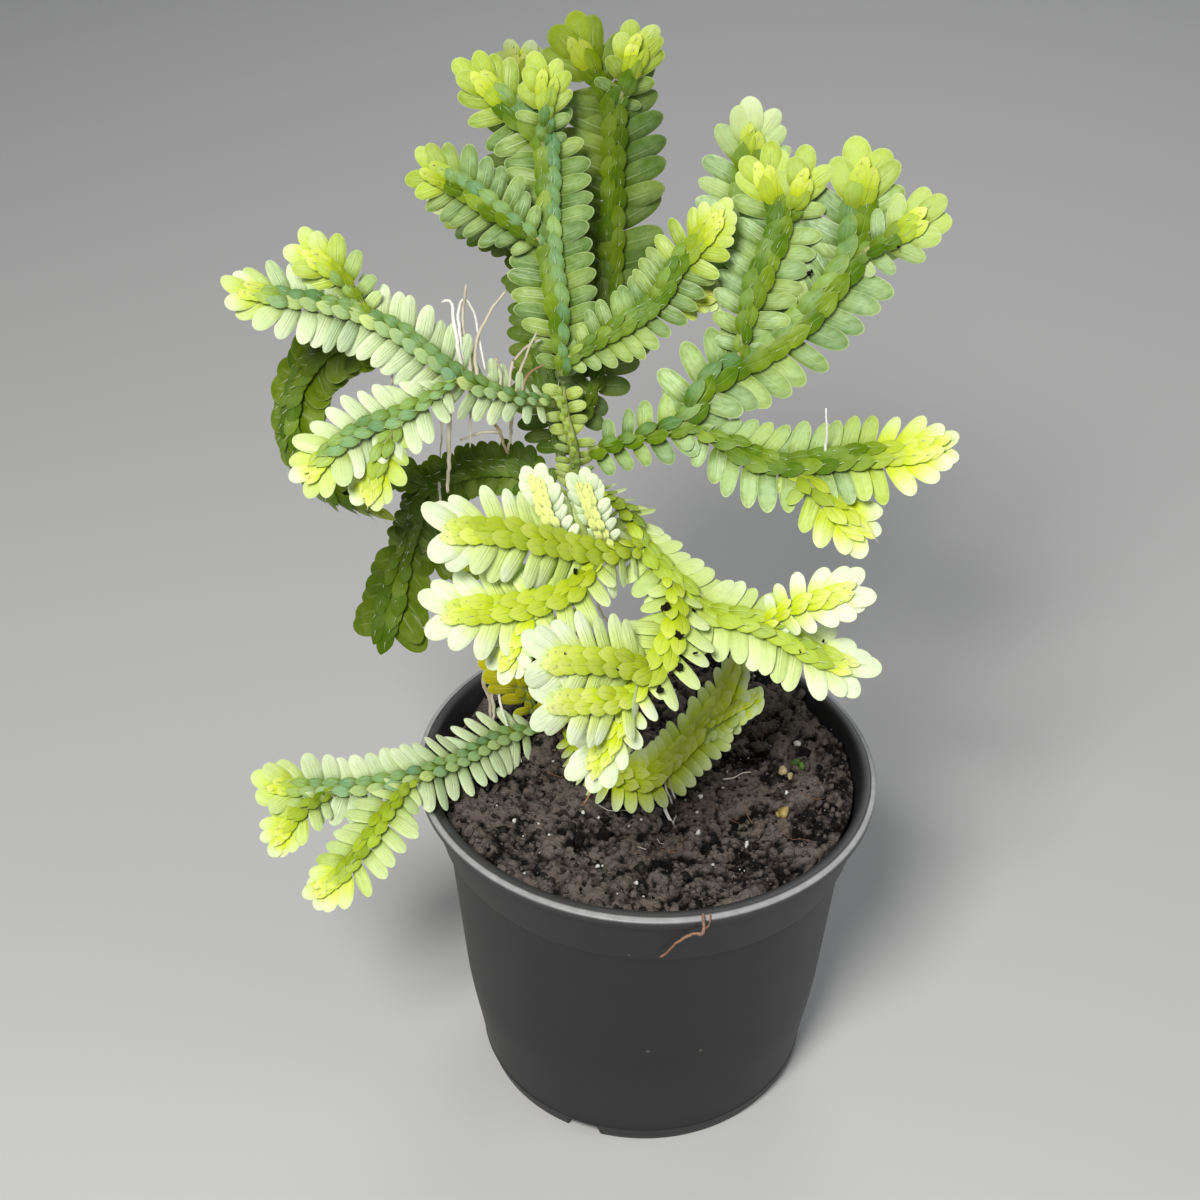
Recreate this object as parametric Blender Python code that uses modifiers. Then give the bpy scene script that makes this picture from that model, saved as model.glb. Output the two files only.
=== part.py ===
"""A spikemoss in a small round nursery pot.

Lengths are in millimetres and are turned into metres when a mesh is made. +Z is up, the
origin is the centre of the pot's flat base, and -Y is the side that the photo looks at.
The plant is one crown of flattened leafy shoots. Each shoot is a stem with two rows of
side leaves cut to the rib, and its upper side is knobbed by two rows of small scale leaves.
"""

import math

import bmesh
import bpy
import numpy as np
from mathutils import Vector

MM = 0.001
CLEARANCE = 0.3

# The pot: a thin turned shell with a rolled lip, a flared band under it and a flat base.
RIM_RADIUS = 30.0
POT_HEIGHT = 48.5
BASE_RADIUS = 21.9
HEEL_RADIUS = 22.5
HEEL_HEIGHT = 2.2
KNEE_RADIUS = 23.2
KNEE_HEIGHT = 7.0
WALL = 1.0
FLOOR = 1.2
LIP_DEPTH = 1.5
LIP_WIDTH = 2.0
BAND_DEPTH = 9.0
BAND_FLARE = 1.7
BAND_STEP = 0.9
POT_SIDES = 40
DRAIN_COUNT = 4
DRAIN_BEARING = 248.0
DRAIN_WIDTH = 4.6
DRAIN_HEIGHT = 2.4
DRAIN_REACH = 3.4

# The soil: a plug that fills the pot to just under the lip, with an uneven crumbly top.
SOIL_DROP = 3.2
SOIL_RINGS = 7
SOIL_SIDES = 32
SOIL_RELIEF = 0.9
STEM_HOLE_RADIUS = 1.9
STEM_HOLE_DEPTH = 7.0

# Leafy shoots.
BLADE = 0.6
LEAF_PITCH = 3.1
LEAF_LENGTH = 4.8
STEM_HALF_WIDTH = 0.85
FAN_LENGTH = 6.0
FAN_ANGLE = 66.0
LEAF_ANGLE = 14.0
LEAF_CUT = 0.06
TIP_ROUNDING = 0.27
SHOULDER = 0.70
TOWARDS_VIEW = (0.0, -0.72, 0.69)
ROOT_SIDES = 5

GREEN = (0.16, 0.33, 0.045)
BRIGHT_GREEN = (0.30, 0.50, 0.06)
DARK_GREEN = (0.07, 0.16, 0.02)
STEM_GREEN = (0.30, 0.42, 0.12)
OLD_YELLOW = (0.36, 0.33, 0.03)
POT_GREY = (0.035, 0.034, 0.036)
SOIL_BROWN = (0.035, 0.024, 0.018)


class Shoot:
    """One leafy stem: the points that it passes through, the way its upper face looks, and its leaves."""

    def __init__(self, points, face=TOWARDS_VIEW, end_face=None, leaf=LEAF_LENGTH, bare=2.0,
                 width=STEM_HALF_WIDTH, lift=0.0, fan=True, pitch=LEAF_PITCH, grow=8.0):
        self.points = points
        self.face = face
        self.end_face = end_face or face
        self.leaf = leaf
        self.bare = bare
        self.width = width
        self.lift = lift
        self.fan = fan
        self.pitch = pitch
        self.grow = grow


# Where each shoot runs. The first shoot of a node is its main axis and the rest fork from it.
STEM = [
    Shoot([(-11.5, 10.0, 39.0), (-11.5, 10.0, 44.5), (-10.5, 9.0, 60.0), (-10.0, 6.0, 78.0),
           (-9.0, 3.0, 92.5), (-10.0, 4.0, 97.5), (-10.5, 6.0, 101.0)],
          face=(-0.1, -0.9, 0.2), leaf=2.3, bare=9.0, width=1.2, fan=False, pitch=3.6),
]
CROWN = [
    Shoot([(-10.5, 6.4, 102.2), (-11.0, 10.0, 109.0), (-12.0, 14.0, 115.0), (-12.5, 20.0, 124.5),
           (-16.0, 22.0, 128.5), (-19.5, 23.0, 132.0)],
          face=(0.05, -0.86, 0.5), leaf=5.2, bare=0.6),
    Shoot([(-12.5, 20.0, 124.5), (-12.6, 21.0, 128.0), (-12.5, 22.0, 132.5)],
          face=(0.2, -0.86, 0.5), bare=1.5, lift=0.9),
    Shoot([(-12.0, 14.0, 115.0), (-17.0, 14.2, 119.0), (-21.5, 14.2, 122.5), (-25.5, 13.5, 125.0)],
          face=(-0.25, -0.8, 0.5), lift=1.0),
    Shoot([(-10.6, 7.0, 103.5), (-4.5, 8.4, 107.0), (0.0, 9.6, 110.0), (3.5, 10.6, 115.0),
           (7.5, 11.4, 119.5)],
          face=(-0.1, -0.75, 0.6), leaf=4.0),
    Shoot([(0.0, 9.6, 110.0), (3.2, 11.2, 109.6), (6.6, 12.4, 109.2)],
          face=(0.1, -0.7, 0.7), leaf=3.6, bare=1.5),
]
BACK = [
    Shoot([(-8.6, 5.6, 96.5), (-6.5, 12.0, 99.0), (-5.0, 20.0, 106.5), (-4.5, 24.0, 117.0),
           (-4.6, 25.4, 128.0), (-6.5, 26.4, 132.0), (-9.0, 26.8, 136.5)],
          face=(0.15, -0.95, 0.25), leaf=7.0),
    Shoot([(-4.6, 25.4, 128.0), (-3.2, 25.6, 131.5), (-2.0, 25.8, 136.5)],
          face=(0.3, -0.9, 0.25), leaf=5.6, bare=1.5, lift=0.9),
]
FAR_BACK = [
    Shoot([(-10.6, 6.4, 90.4), (-12.6, 14.0, 97.0), (-13.5, 25.0, 108.0), (-15.5, 31.0, 119.0),
           (-15.5, 33.0, 131.0)],
          face=(-0.2, -0.8, 0.6), leaf=4.4),
    Shoot([(-13.5, 25.0, 108.0), (-19.0, 29.5, 112.0), (-25.0, 32.0, 114.0)],
          face=(-0.3, -0.5, 0.8), lift=0.9),
]
RIGHT = [
    Shoot([(-7.2, 2.0, 94.4), (-1.5, 0.4, 97.2), (3.5, 1.0, 99.0), (6.0, 3.0, 102.0),
           (10.5, 6.0, 104.0), (16.5, 8.0, 107.5), (20.5, 9.5, 111.5), (23.0, 11.0, 115.0),
           (23.6, 12.8, 119.0), (24.4, 14.0, 123.5)],
          face=(0.0, -0.75, 0.65), leaf=6.2, bare=2.6, grow=24.0),
    Shoot([(23.0, 11.0, 115.0), (26.5, 10.6, 117.0), (30.5, 10.6, 120.0)],
          face=(0.15, -0.78, 0.6), leaf=5.4, bare=1.5, lift=0.9),
    Shoot([(10.5, 6.0, 104.0), (11.2, 8.4, 108.5), (13.0, 11.0, 113.5), (14.6, 13.0, 117.5),
           (14.6, 14.4, 120.0), (13.4, 15.6, 123.0)],
          face=(-0.05, -0.85, 0.5), leaf=5.2, lift=0.9),
    Shoot([(14.6, 13.0, 117.5), (16.2, 14.0, 119.8), (17.6, 14.6, 123.6)],
          face=(0.1, -0.85, 0.5), bare=1.5, lift=0.9),
    Shoot([(11.2, 8.4, 108.5), (10.4, 16.0, 113.0), (11.0, 20.5, 119.0), (12.0, 22.0, 125.5)],
          face=(0.0, -0.9, 0.4), leaf=5.2, bare=4.5),
    Shoot([(3.5, 1.0, 99.0), (8.0, -1.0, 97.4), (14.5, -3.8, 96.2), (23.0, -5.8, 98.2),
           (31.4, -7.0, 99.8)],
          face=(0.1, -0.62, 0.78), leaf=5.4),
    Shoot([(15.5, -4.0, 96.3), (19.6, -7.4, 93.8), (23.0, -9.0, 90.6)],
          face=(0.15, -0.7, 0.7), leaf=5.2, lift=0.9),
]
LEFT = [
    Shoot([(-11.6, 4.6, 99.6), (-15.0, 2.0, 101.5), (-18.5, 0.5, 103.5), (-22.0, -1.0, 106.0),
           (-28.0, -1.0, 111.0), (-32.0, -1.0, 113.5), (-36.0, -2.0, 115.5), (-41.0, -3.0, 117.0),
           (-44.6, -4.0, 118.0)],
          face=(-0.1, -0.68, 0.72), bare=1.0),
    Shoot([(-32.0, -1.0, 113.5), (-34.2, 0.2, 117.0), (-38.0, 0.6, 120.4)],
          face=(-0.1, -0.75, 0.65), lift=0.9),
    Shoot([(-22.0, -1.0, 106.0), (-25.5, -4.0, 105.0), (-28.5, -6.0, 104.0), (-32.0, -8.0, 103.5),
           (-35.5, -10.0, 102.0), (-38.0, -11.0, 99.5)],
          face=(-0.05, -0.72, 0.7), leaf=4.8),
    Shoot([(-28.5, -6.0, 104.0), (-30.4, -8.4, 101.2), (-32.0, -9.6, 97.0)],
          face=(0.1, -0.85, 0.5), leaf=4.6, lift=0.9),
    Shoot([(-28.0, -1.0, 111.0), (-34.5, 6.0, 107.5), (-39.5, 8.6, 103.5), (-42.6, 8.8, 98.5),
           (-43.0, 7.0, 92.6), (-39.6, 5.0, 87.8), (-34.0, 4.0, 85.6)],
          face=(-0.2, -0.3, 0.9), end_face=(-0.55, -0.72, -0.35), leaf=5.6, bare=5.0),
]
DROOPING = [
    Shoot([(-11.4, 6.4, 86.2), (-16.0, 8.3, 88.0), (-22.0, 10.0, 87.0), (-27.5, 10.0, 84.5),
           (-29.5, 10.0, 78.0), (-32.5, 9.0, 71.0), (-34.4, 7.4, 62.0)],
          face=(-0.3, -0.65, 0.7), end_face=(-0.4, -0.8, 0.3), leaf=5.2),
    Shoot([(-27.0, 10.0, 84.8), (-30.0, 9.4, 86.6), (-34.0, 8.4, 87.4)],
          face=(-0.1, -0.7, 0.7), leaf=3.6, lift=0.9),
    Shoot([(-30.0, 10.0, 76.5), (-27.0, 9.4, 74.4), (-22.5, 8.6, 74.0)],
          face=(0.2, -0.8, 0.5), leaf=3.6, lift=0.9),
]
FRONT = [
    Shoot([(-8.7, 1.7, 89.0), (-6.0, -2.6, 91.4), (-3.0, -8.0, 92.0), (-1.0, -12.0, 90.0),
           (2.0, -15.0, 88.0), (5.5, -17.0, 85.0), (12.0, -19.0, 84.0), (17.0, -20.0, 81.5),
           (21.4, -20.0, 79.0)],
          face=(0.25, -0.6, 0.75), leaf=4.6, bare=1.0, grow=26.0),
    Shoot([(12.0, -19.0, 84.0), (16.0, -19.0, 86.5), (21.0, -18.0, 87.5)],
          face=(0.1, -0.7, 0.7), leaf=4.0, lift=0.9),
    Shoot([(-1.0, -12.0, 90.0), (-5.5, -17.0, 92.5), (-11.5, -21.0, 96.5), (-16.5, -23.2, 99.2),
           (-21.4, -25.2, 100.5)],
          face=(-0.1, -0.7, 0.7), leaf=4.8),
    Shoot([(-5.5, -17.0, 92.5), (-9.0, -22.0, 91.0), (-14.0, -25.0, 91.0), (-21.8, -28.0, 92.0)],
          face=(-0.1, -0.75, 0.65), leaf=4.8, lift=0.9),
    Shoot([(-12.0, -24.2, 91.4), (-14.0, -26.4, 89.0), (-15.8, -27.4, 86.0)],
          face=(-0.2, -0.8, 0.55), leaf=4.0, lift=0.9),
    Shoot([(-9.0, -19.4, 94.8), (-11.6, -18.4, 98.4), (-12.8, -17.0, 101.5)],
          face=(0.1, -0.95, 0.2), leaf=3.4, lift=0.6),
    Shoot([(-4.6, -16.0, 92.0), (-6.6, -15.4, 96.0), (-7.8, -14.4, 99.5)],
          face=(0.1, -0.95, 0.2), leaf=3.4, lift=0.6),
    Shoot([(2.0, -15.0, 88.0), (2.5, -20.0, 86.5), (1.5, -24.0, 85.0), (-0.5, -27.0, 84.0),
           (-5.5, -30.0, 87.0), (-12.5, -33.0, 89.5)],
          face=(0.2, -0.7, 0.7), leaf=4.6, end_face=(-0.05, -0.75, 0.65)),
    Shoot([(0.4, -26.0, 84.0), (-2.5, -29.4, 82.2), (-7.0, -32.4, 83.6), (-12.6, -35.4, 85.4)],
          face=(-0.05, -0.8, 0.6), leaf=4.2, lift=0.6),
    Shoot([(-2.0, -29.0, 82.4), (-4.2, -31.0, 79.0), (-6.4, -32.0, 75.6)],
          face=(0.05, -0.95, 0.3), leaf=4.2, lift=0.9),
]
LOW_FRONT = [
    Shoot([(-10.6, 7.4, 47.4), (-8.0, 3.0, 48.6), (-4.0, -3.0, 50.0), (0.5, -6.0, 52.5),
           (4.5, -6.0, 57.0), (9.0, -5.0, 61.5), (16.0, -3.0, 63.0)],
          face=(0.3, -0.6, 0.75), end_face=(-0.35, -0.5, 0.8), leaf=4.2, bare=1.6),
]
CREEPING = [
    Shoot([(-13.4, 8.0, 47.8), (-19.0, 3.5, 49.6), (-24.0, -3.0, 51.2), (-29.0, -8.0, 52.8),
           (-35.0, -10.4, 53.0), (-41.0, -11.6, 53.6), (-46.2, -12.8, 54.8)],
          face=(0.0, -0.6, 0.8), leaf=4.8, bare=2.4),
    Shoot([(-39.0, -11.2, 53.3), (-42.5, -14.2, 52.6), (-45.4, -15.8, 49.8)],
          face=(-0.1, -0.75, 0.65), leaf=4.0, lift=0.9),
    Shoot([(-29.0, -8.0, 52.8), (-32.0, -13.0, 51.8), (-34.4, -17.0, 50.0), (-37.0, -19.6, 47.6),
           (-39.6, -21.0, 45.6)],
          face=(-0.15, -0.7, 0.7), leaf=4.2, lift=0.9),
]
OLD_LEAVES = [
    Shoot([(-14.6, 10.6, 47.6), (-16.6, 10.2, 52.0), (-18.6, 9.6, 56.0), (-21.0, 9.4, 59.6)],
          face=(-0.2, -0.8, 0.5), leaf=3.6, bare=0.6),
]
# Thread-like roots that leave a shoot near its forks: (points, radius).
LEFT_ROOTS = [
    ([(-22.4, -1.0, 106.4), (-23.2, -2.4, 103.6), (-23.6, -3.0, 100.0), (-23.5, -2.6, 95.6),
      (-24.0, -2.0, 91.4)], 0.42),
    ([(-20.6, -0.3, 105.0), (-21.0, 1.6, 108.6), (-21.8, 2.6, 111.3), (-22.5, 3.0, 113.6),
      (-24.0, 2.2, 114.0)], 0.34),
    ([(-19.8, -0.1, 104.5), (-19.7, 2.0, 107.4), (-19.8, 3.4, 110.4), (-19.6, 4.0, 115.2)], 0.34),
    ([(-18.6, 0.4, 103.7), (-18.8, 3.6, 107.6), (-18.6, 5.0, 110.3), (-17.1, 6.0, 113.2)], 0.34),
]
PLANT = {
    "main_stem": (STEM, [], STEM_GREEN),
    "frond_crown": (CROWN, [], GREEN),
    "frond_back": (BACK, [], GREEN),
    "frond_far_back": (FAR_BACK, [], DARK_GREEN),
    "frond_right": (RIGHT, [], GREEN),
    "frond_left": (LEFT, LEFT_ROOTS, GREEN),
    "frond_drooping": (DROOPING, [], DARK_GREEN),
    "frond_front": (FRONT, [], BRIGHT_GREEN),
    "frond_low_front": (LOW_FRONT, [], BRIGHT_GREEN),
    "frond_creeping": (CREEPING, [], BRIGHT_GREEN),
    "shoot_old_yellow": (OLD_LEAVES, [], OLD_YELLOW),
}


def clear_scene():
    for obj in list(bpy.data.objects):
        bpy.data.objects.remove(obj)


def collection(name, shown=True):
    made = bpy.data.collections.new(name)
    bpy.context.scene.collection.children.link(made)
    made.hide_render = not shown
    return made


def material(name, color, roughness):
    made = bpy.data.materials.new(name)
    made.use_nodes = True
    shader = made.node_tree.nodes["Principled BSDF"]
    shader.inputs["Base Color"].default_value = (*color, 1.0)
    shader.inputs["Roughness"].default_value = roughness
    shader.inputs["Metallic"].default_value = 0.0
    return made


def mesh_object(name, verts, faces, home, finish=None):
    """An object from points in millimetres, with its faces turned outwards."""
    mesh = bpy.data.meshes.new(name)
    mesh.from_pydata([tuple(v) for v in np.asarray(verts) * MM], [], faces)
    bm = bmesh.new()
    bm.from_mesh(mesh)
    bmesh.ops.recalc_face_normals(bm, faces=bm.faces)
    bm.to_mesh(mesh)
    bm.free()
    obj = bpy.data.objects.new(name, mesh)
    home.objects.link(obj)
    if finish:
        mesh.materials.append(finish)
    return obj


def apply_modifiers(obj):
    graph = bpy.context.evaluated_depsgraph_get()
    baked = bpy.data.meshes.new_from_object(obj.evaluated_get(graph))
    obj.modifiers.clear()
    obj.data = baked


def turned(name, profile, sides, home, finish):
    """A profile of (radius, height) points turned about Z. It starts and ends on the axis."""
    mesh = bpy.data.meshes.new(name)
    edges = [(i, i + 1) for i in range(len(profile) - 1)]
    mesh.from_pydata([(r * MM, 0.0, z * MM) for r, z in profile], edges, [])
    mesh.materials.append(finish)
    obj = bpy.data.objects.new(name, mesh)
    home.objects.link(obj)
    screw = obj.modifiers.new("Screw", "SCREW")
    screw.steps = screw.render_steps = sides
    screw.use_merge_vertices = True
    screw.merge_threshold = 0.00001
    return obj


def smooth_path(points, step=0.2):
    """A Catmull-Rom curve through the points, as positions at even steps of its length."""
    p = np.array(points, float)
    p = np.vstack([2 * p[0] - p[1], p, 2 * p[-1] - p[-2]])
    t = np.linspace(0, 1, 24, endpoint=False)[:, None]
    spans = []
    for a, b, c, d in zip(p, p[1:], p[2:], p[3:]):
        spans.append(0.5 * (2 * b + (c - a) * t + (2 * a - 5 * b + 4 * c - d) * t**2
                            + (3 * b - a - 3 * c + d) * t**3))
    dense = np.vstack([*spans, p[-2]])
    along = np.r_[0, np.cumsum(np.linalg.norm(np.diff(dense, axis=0), axis=1))]
    even = np.linspace(0, along[-1], max(2, int(along[-1] / step)))
    return np.stack([np.interp(even, along, dense[:, i]) for i in range(3)], axis=1), even


def unit(v):
    return v / np.linalg.norm(v, axis=-1, keepdims=True)


def ramp(x, low, high):
    """0 below low, 1 above high, and a smooth step between them."""
    t = np.clip((x - low) / (high - low), 0, 1)
    return t * t * (3 - 2 * t)


class Axis:
    """A shoot's centreline with its frame: along, side and up, at any arc length, also past its end."""

    def __init__(self, shoot):
        self.line, self.s = smooth_path(shoot.points)
        self.length = self.s[-1]
        along = unit(np.gradient(self.line, axis=0))
        share = (self.s / self.length)[:, None]
        face = np.array(shoot.face) * (1 - share) + np.array(shoot.end_face) * share
        self.up = unit(face - (face * along).sum(1, keepdims=True) * along)
        self.along = along
        self.side = np.cross(along, self.up)
        self.line = self.line + self.up * (shoot.lift * ramp(self.s, 0.5, 3.5))[:, None]

    def at(self, values, s):
        return np.array([np.interp(s, self.s, values[:, i]) for i in range(3)])

    def point(self, s, side, up):
        past = max(0.0, s - self.length)
        base = self.at(self.line, s) + past * self.at(self.along, s)
        return base + side * self.at(self.side, s) + up * self.at(self.up, s)


def stations(shoot, length):
    """The arc lengths where one pair of side leaves ends and the next begins."""
    found = [0.0]
    if shoot.bare > 0.4:
        found.append(shoot.bare)
    while True:
        closeness = ramp(found[-1], length - FAN_LENGTH, length) if shoot.fan else 0.0
        step = shoot.pitch * (1 - 0.50 * closeness)
        if found[-1] + step > length - 0.5:
            return found
        found.append(found[-1] + step)


def leaf_reach(shoot, s, length):
    """How far leaves reach from the centreline: short at the shoot's base, full along it, less at its tip."""
    reach = shoot.leaf * (0.5 + 0.5 * ramp(s, 0, shoot.grow))
    return reach * (1 - 0.16 * ramp(s, length - FAN_LENGTH, length)) if shoot.fan else reach


def leaf_line(axis, shoot, s, share, sign):
    """A point on the line that parts two leaves, at a share of their reach. The lines turn forwards at the tip."""
    turn = math.radians(LEAF_ANGLE)
    if shoot.fan:
        turn += math.radians(FAN_ANGLE - LEAF_ANGLE) * ramp(s, axis.length - FAN_LENGTH, axis.length)
    root = shoot.width
    reach = (leaf_reach(shoot, s, axis.length) - root) * share
    foot = axis.point(s, sign * root, 0.0)
    heading = math.cos(turn) * sign * axis.at(axis.side, s) + math.sin(turn) * axis.at(axis.along, s)
    droop = -0.5 * share**2
    return foot + reach * heading + droop * axis.at(axis.up, s)


def ring(axis, shoot, s, number):
    """Six points round the stem: keel, right low, right high, crest, left high, left low. The crest swings
    from side to side, as the two rows of scale leaves do."""
    w = shoot.width * (1 - 0.35 * ramp(s, axis.length - 2.0, axis.length))
    swing = 0.38 * w if number % 2 else -0.38 * w
    half = BLADE / 2
    layout = [(0, -0.75 * w), (w, -half), (w, half), (swing, 0.95 * w), (-w, half), (-w, -half)]
    return [axis.point(s, side, up) for side, up in layout]


def shoot_mesh(shoot):
    """A closed mesh of a stem and its leaves. A leaf fills the space between two parting lines, less a
    narrow cut, and its upper and lower faces are split into the same triangles."""
    axis = Axis(shoot)
    marks = stations(shoot, axis.length)
    verts, faces = [], []
    rings = []
    for number, s in enumerate(marks):
        rings.append(len(verts))
        verts += ring(axis, shoot, s, number)
    for j in range(len(marks) - 1):
        a, b = rings[j], rings[j + 1]
        for k, m in ((0, 1), (2, 3), (3, 4), (5, 0)):
            faces += [(a + k, a + m, b + m), (a + k, b + m, b + k)]
        for sign, low, high in ((1, 1, 2), (-1, 5, 4)):
            if marks[j] < shoot.bare - 0.01:
                faces += [(a + low, a + high, b + high), (a + low, b + high, b + low)]
                continue
            outline = []
            for share, cut in ((SHOULDER, LEAF_CUT), (1.0, TIP_ROUNDING)):
                near = leaf_line(axis, shoot, marks[j], share, sign)
                far = leaf_line(axis, shoot, marks[j + 1], share, sign)
                outline.append(near + (far - near) * cut)
                outline.append(far + (near - far) * cut)
            middle = 0.5 * (marks[j] + marks[j + 1])
            half = 0.5 * BLADE * axis.at(axis.up, middle)
            top = len(verts)
            verts += [p + half for p in outline]
            verts += [p - half for p in outline]
            # Order round the blade: near root, near shoulder, near tip, far tip, far shoulder, far root.
            upper = [a + high, top, top + 2, top + 3, top + 1, b + high]
            lower = [a + low, top + 4, top + 6, top + 7, top + 5, b + low]
            for face in (upper, lower):
                r0, s0, t0, t1, s1, r1 = face
                faces += [(r0, s0, r1), (s0, s1, r1), (s0, t0, s1), (t0, t1, s1)]
            for k in range(5):
                faces += [(upper[k], upper[k + 1], lower[k + 1]), (upper[k], lower[k + 1], lower[k])]
    start = rings[0]
    faces += [(start, start + k, start + k + 1) for k in range(1, 5)]
    last = rings[-1]
    verts.append(axis.point(axis.length, 0.0, 0.0))
    faces += [(last + k, last + (k + 1) % 6, len(verts) - 1) for k in range(6)]
    return verts, faces


def root_mesh(points, radius):
    """A closed thread: rings across a smooth path that thin towards its free end."""
    line, along = smooth_path(points)
    heading = unit(np.gradient(line, axis=0))
    side = unit(np.cross(heading, (0.3, 0.9, 0.2)))
    other = np.cross(heading, side)
    turns = np.linspace(0, 2 * math.pi, ROOT_SIDES, endpoint=False)[:, None]
    picked = np.linspace(0, len(line) - 1, 2 * len(points) - 1).astype(int)
    verts, faces = [], []
    for i in picked:
        thin = radius * (1 - 0.35 * along[i] / along[-1])
        verts += list(line[i] + thin * (np.cos(turns) * side[i] + np.sin(turns) * other[i]))
    for a in range(0, len(verts) - ROOT_SIDES, ROOT_SIDES):
        for k in range(ROOT_SIDES):
            m, b = (k + 1) % ROOT_SIDES, a + ROOT_SIDES
            faces += [(a + k, a + m, b + m), (a + k, b + m, b + k)]
    faces += [tuple(range(ROOT_SIDES)), tuple(range(len(verts) - ROOT_SIDES, len(verts)))]
    return verts, faces


def build_plant(name, shoots, roots, finish, home, spare):
    """One frond: its shoots and their thread-like roots fused into one body."""
    made = [mesh_object(f"{name}_{i}", *shoot_mesh(shoot), spare) for i, shoot in enumerate(shoots)]
    made += [mesh_object(f"{name}_root_{i}", *root_mesh(*root), spare) for i, root in enumerate(roots)]
    body = made[0]
    if len(made) > 1:
        forks = bpy.data.collections.new(name + "_forks")
        bpy.context.scene.collection.children.link(forks)
        for other in made[1:]:
            spare.objects.unlink(other)
            forks.objects.link(other)
        union = body.modifiers.new("Union", "BOOLEAN")
        union.operation = "UNION"
        union.operand_type = "COLLECTION"
        union.collection = forks
        union.solver = "MANIFOLD"
        apply_modifiers(body)
        for other in made[1:]:
            bpy.data.objects.remove(other)
        bpy.data.collections.remove(forks)
    body.name = name
    spare.objects.unlink(body)
    home.objects.link(body)
    body.data.materials.clear()
    body.data.materials.append(finish)
    return body


def pot_profile():
    """The pot's section, from the middle of its inner floor up the inside, over the lip and down the outside."""
    band_foot = POT_HEIGHT - BAND_DEPTH
    band_low = RIM_RADIUS - LIP_WIDTH / 2 - BAND_FLARE
    body_top = band_low - BAND_STEP
    return [
        (0.0, FLOOR),
        (HEEL_RADIUS - WALL - 0.6, FLOOR),
        (KNEE_RADIUS - WALL - 0.1, KNEE_HEIGHT),
        (body_top - WALL, band_foot - 1.2),
        (band_low - WALL, band_foot),
        (RIM_RADIUS - LIP_WIDTH, POT_HEIGHT - 0.3),
        (RIM_RADIUS - LIP_WIDTH + 0.4, POT_HEIGHT),
        (RIM_RADIUS - 0.4, POT_HEIGHT),
        (RIM_RADIUS, POT_HEIGHT - 0.4),
        (RIM_RADIUS - 0.1, POT_HEIGHT - LIP_DEPTH),
        (RIM_RADIUS - LIP_WIDTH / 2, POT_HEIGHT - LIP_DEPTH - 0.3),
        (band_low, band_foot),
        (body_top, band_foot - 0.8),
        (KNEE_RADIUS, KNEE_HEIGHT),
        (HEEL_RADIUS, HEEL_HEIGHT),
        (BASE_RADIUS, 0.0),
        (0.0, 0.0),
    ]


def build_pot(home, cutters):
    pot = turned("pot", pot_profile(), POT_SIDES, home, material("pot", POT_GREY, 0.5))
    for i in range(DRAIN_COUNT):
        bearing = math.radians(DRAIN_BEARING + 360 / DRAIN_COUNT * i)
        middle = BASE_RADIUS + 1.0 - DRAIN_REACH / 2
        bpy.ops.mesh.primitive_cube_add(size=1.0)
        notch = bpy.context.active_object
        notch.name = f"drain_cutter_{i}"
        notch.scale = ((DRAIN_REACH + 2.0) * MM, DRAIN_WIDTH * MM, 2 * DRAIN_HEIGHT * MM)
        notch.location = (middle * math.cos(bearing) * MM, middle * math.sin(bearing) * MM, 0.0)
        notch.rotation_euler = (0.0, 0.0, bearing)
        notch.hide_render = True
        notch.display_type = "WIRE"
        for old in notch.users_collection:
            old.objects.unlink(notch)
        cutters.objects.link(notch)
        cut = pot.modifiers.new(f"Drain {i}", "BOOLEAN")
        cut.operation = "DIFFERENCE"
        cut.object = notch
    return pot


def soil_height(x, y):
    """The height of the soil's top: a low mound at the stem, hollows beside it, and small waves."""
    stem = math.exp(-((x + 11.5) ** 2 + (y - 10.0) ** 2) / 60.0)
    waves = math.sin(0.55 * x + 0.3 * y + 1.0) * math.cos(0.45 * y - 0.2 * x)
    crumbs = math.sin(1.35 * x - 0.4) * math.sin(1.2 * y + 0.9)
    hollow = math.exp(-((x - 4.0) ** 2 + (y - 2.0) ** 2) / 40.0)
    return SOIL_RELIEF * (1.1 * stem + 0.55 * waves + 0.35 * crumbs - 1.1 * hollow)


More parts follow.
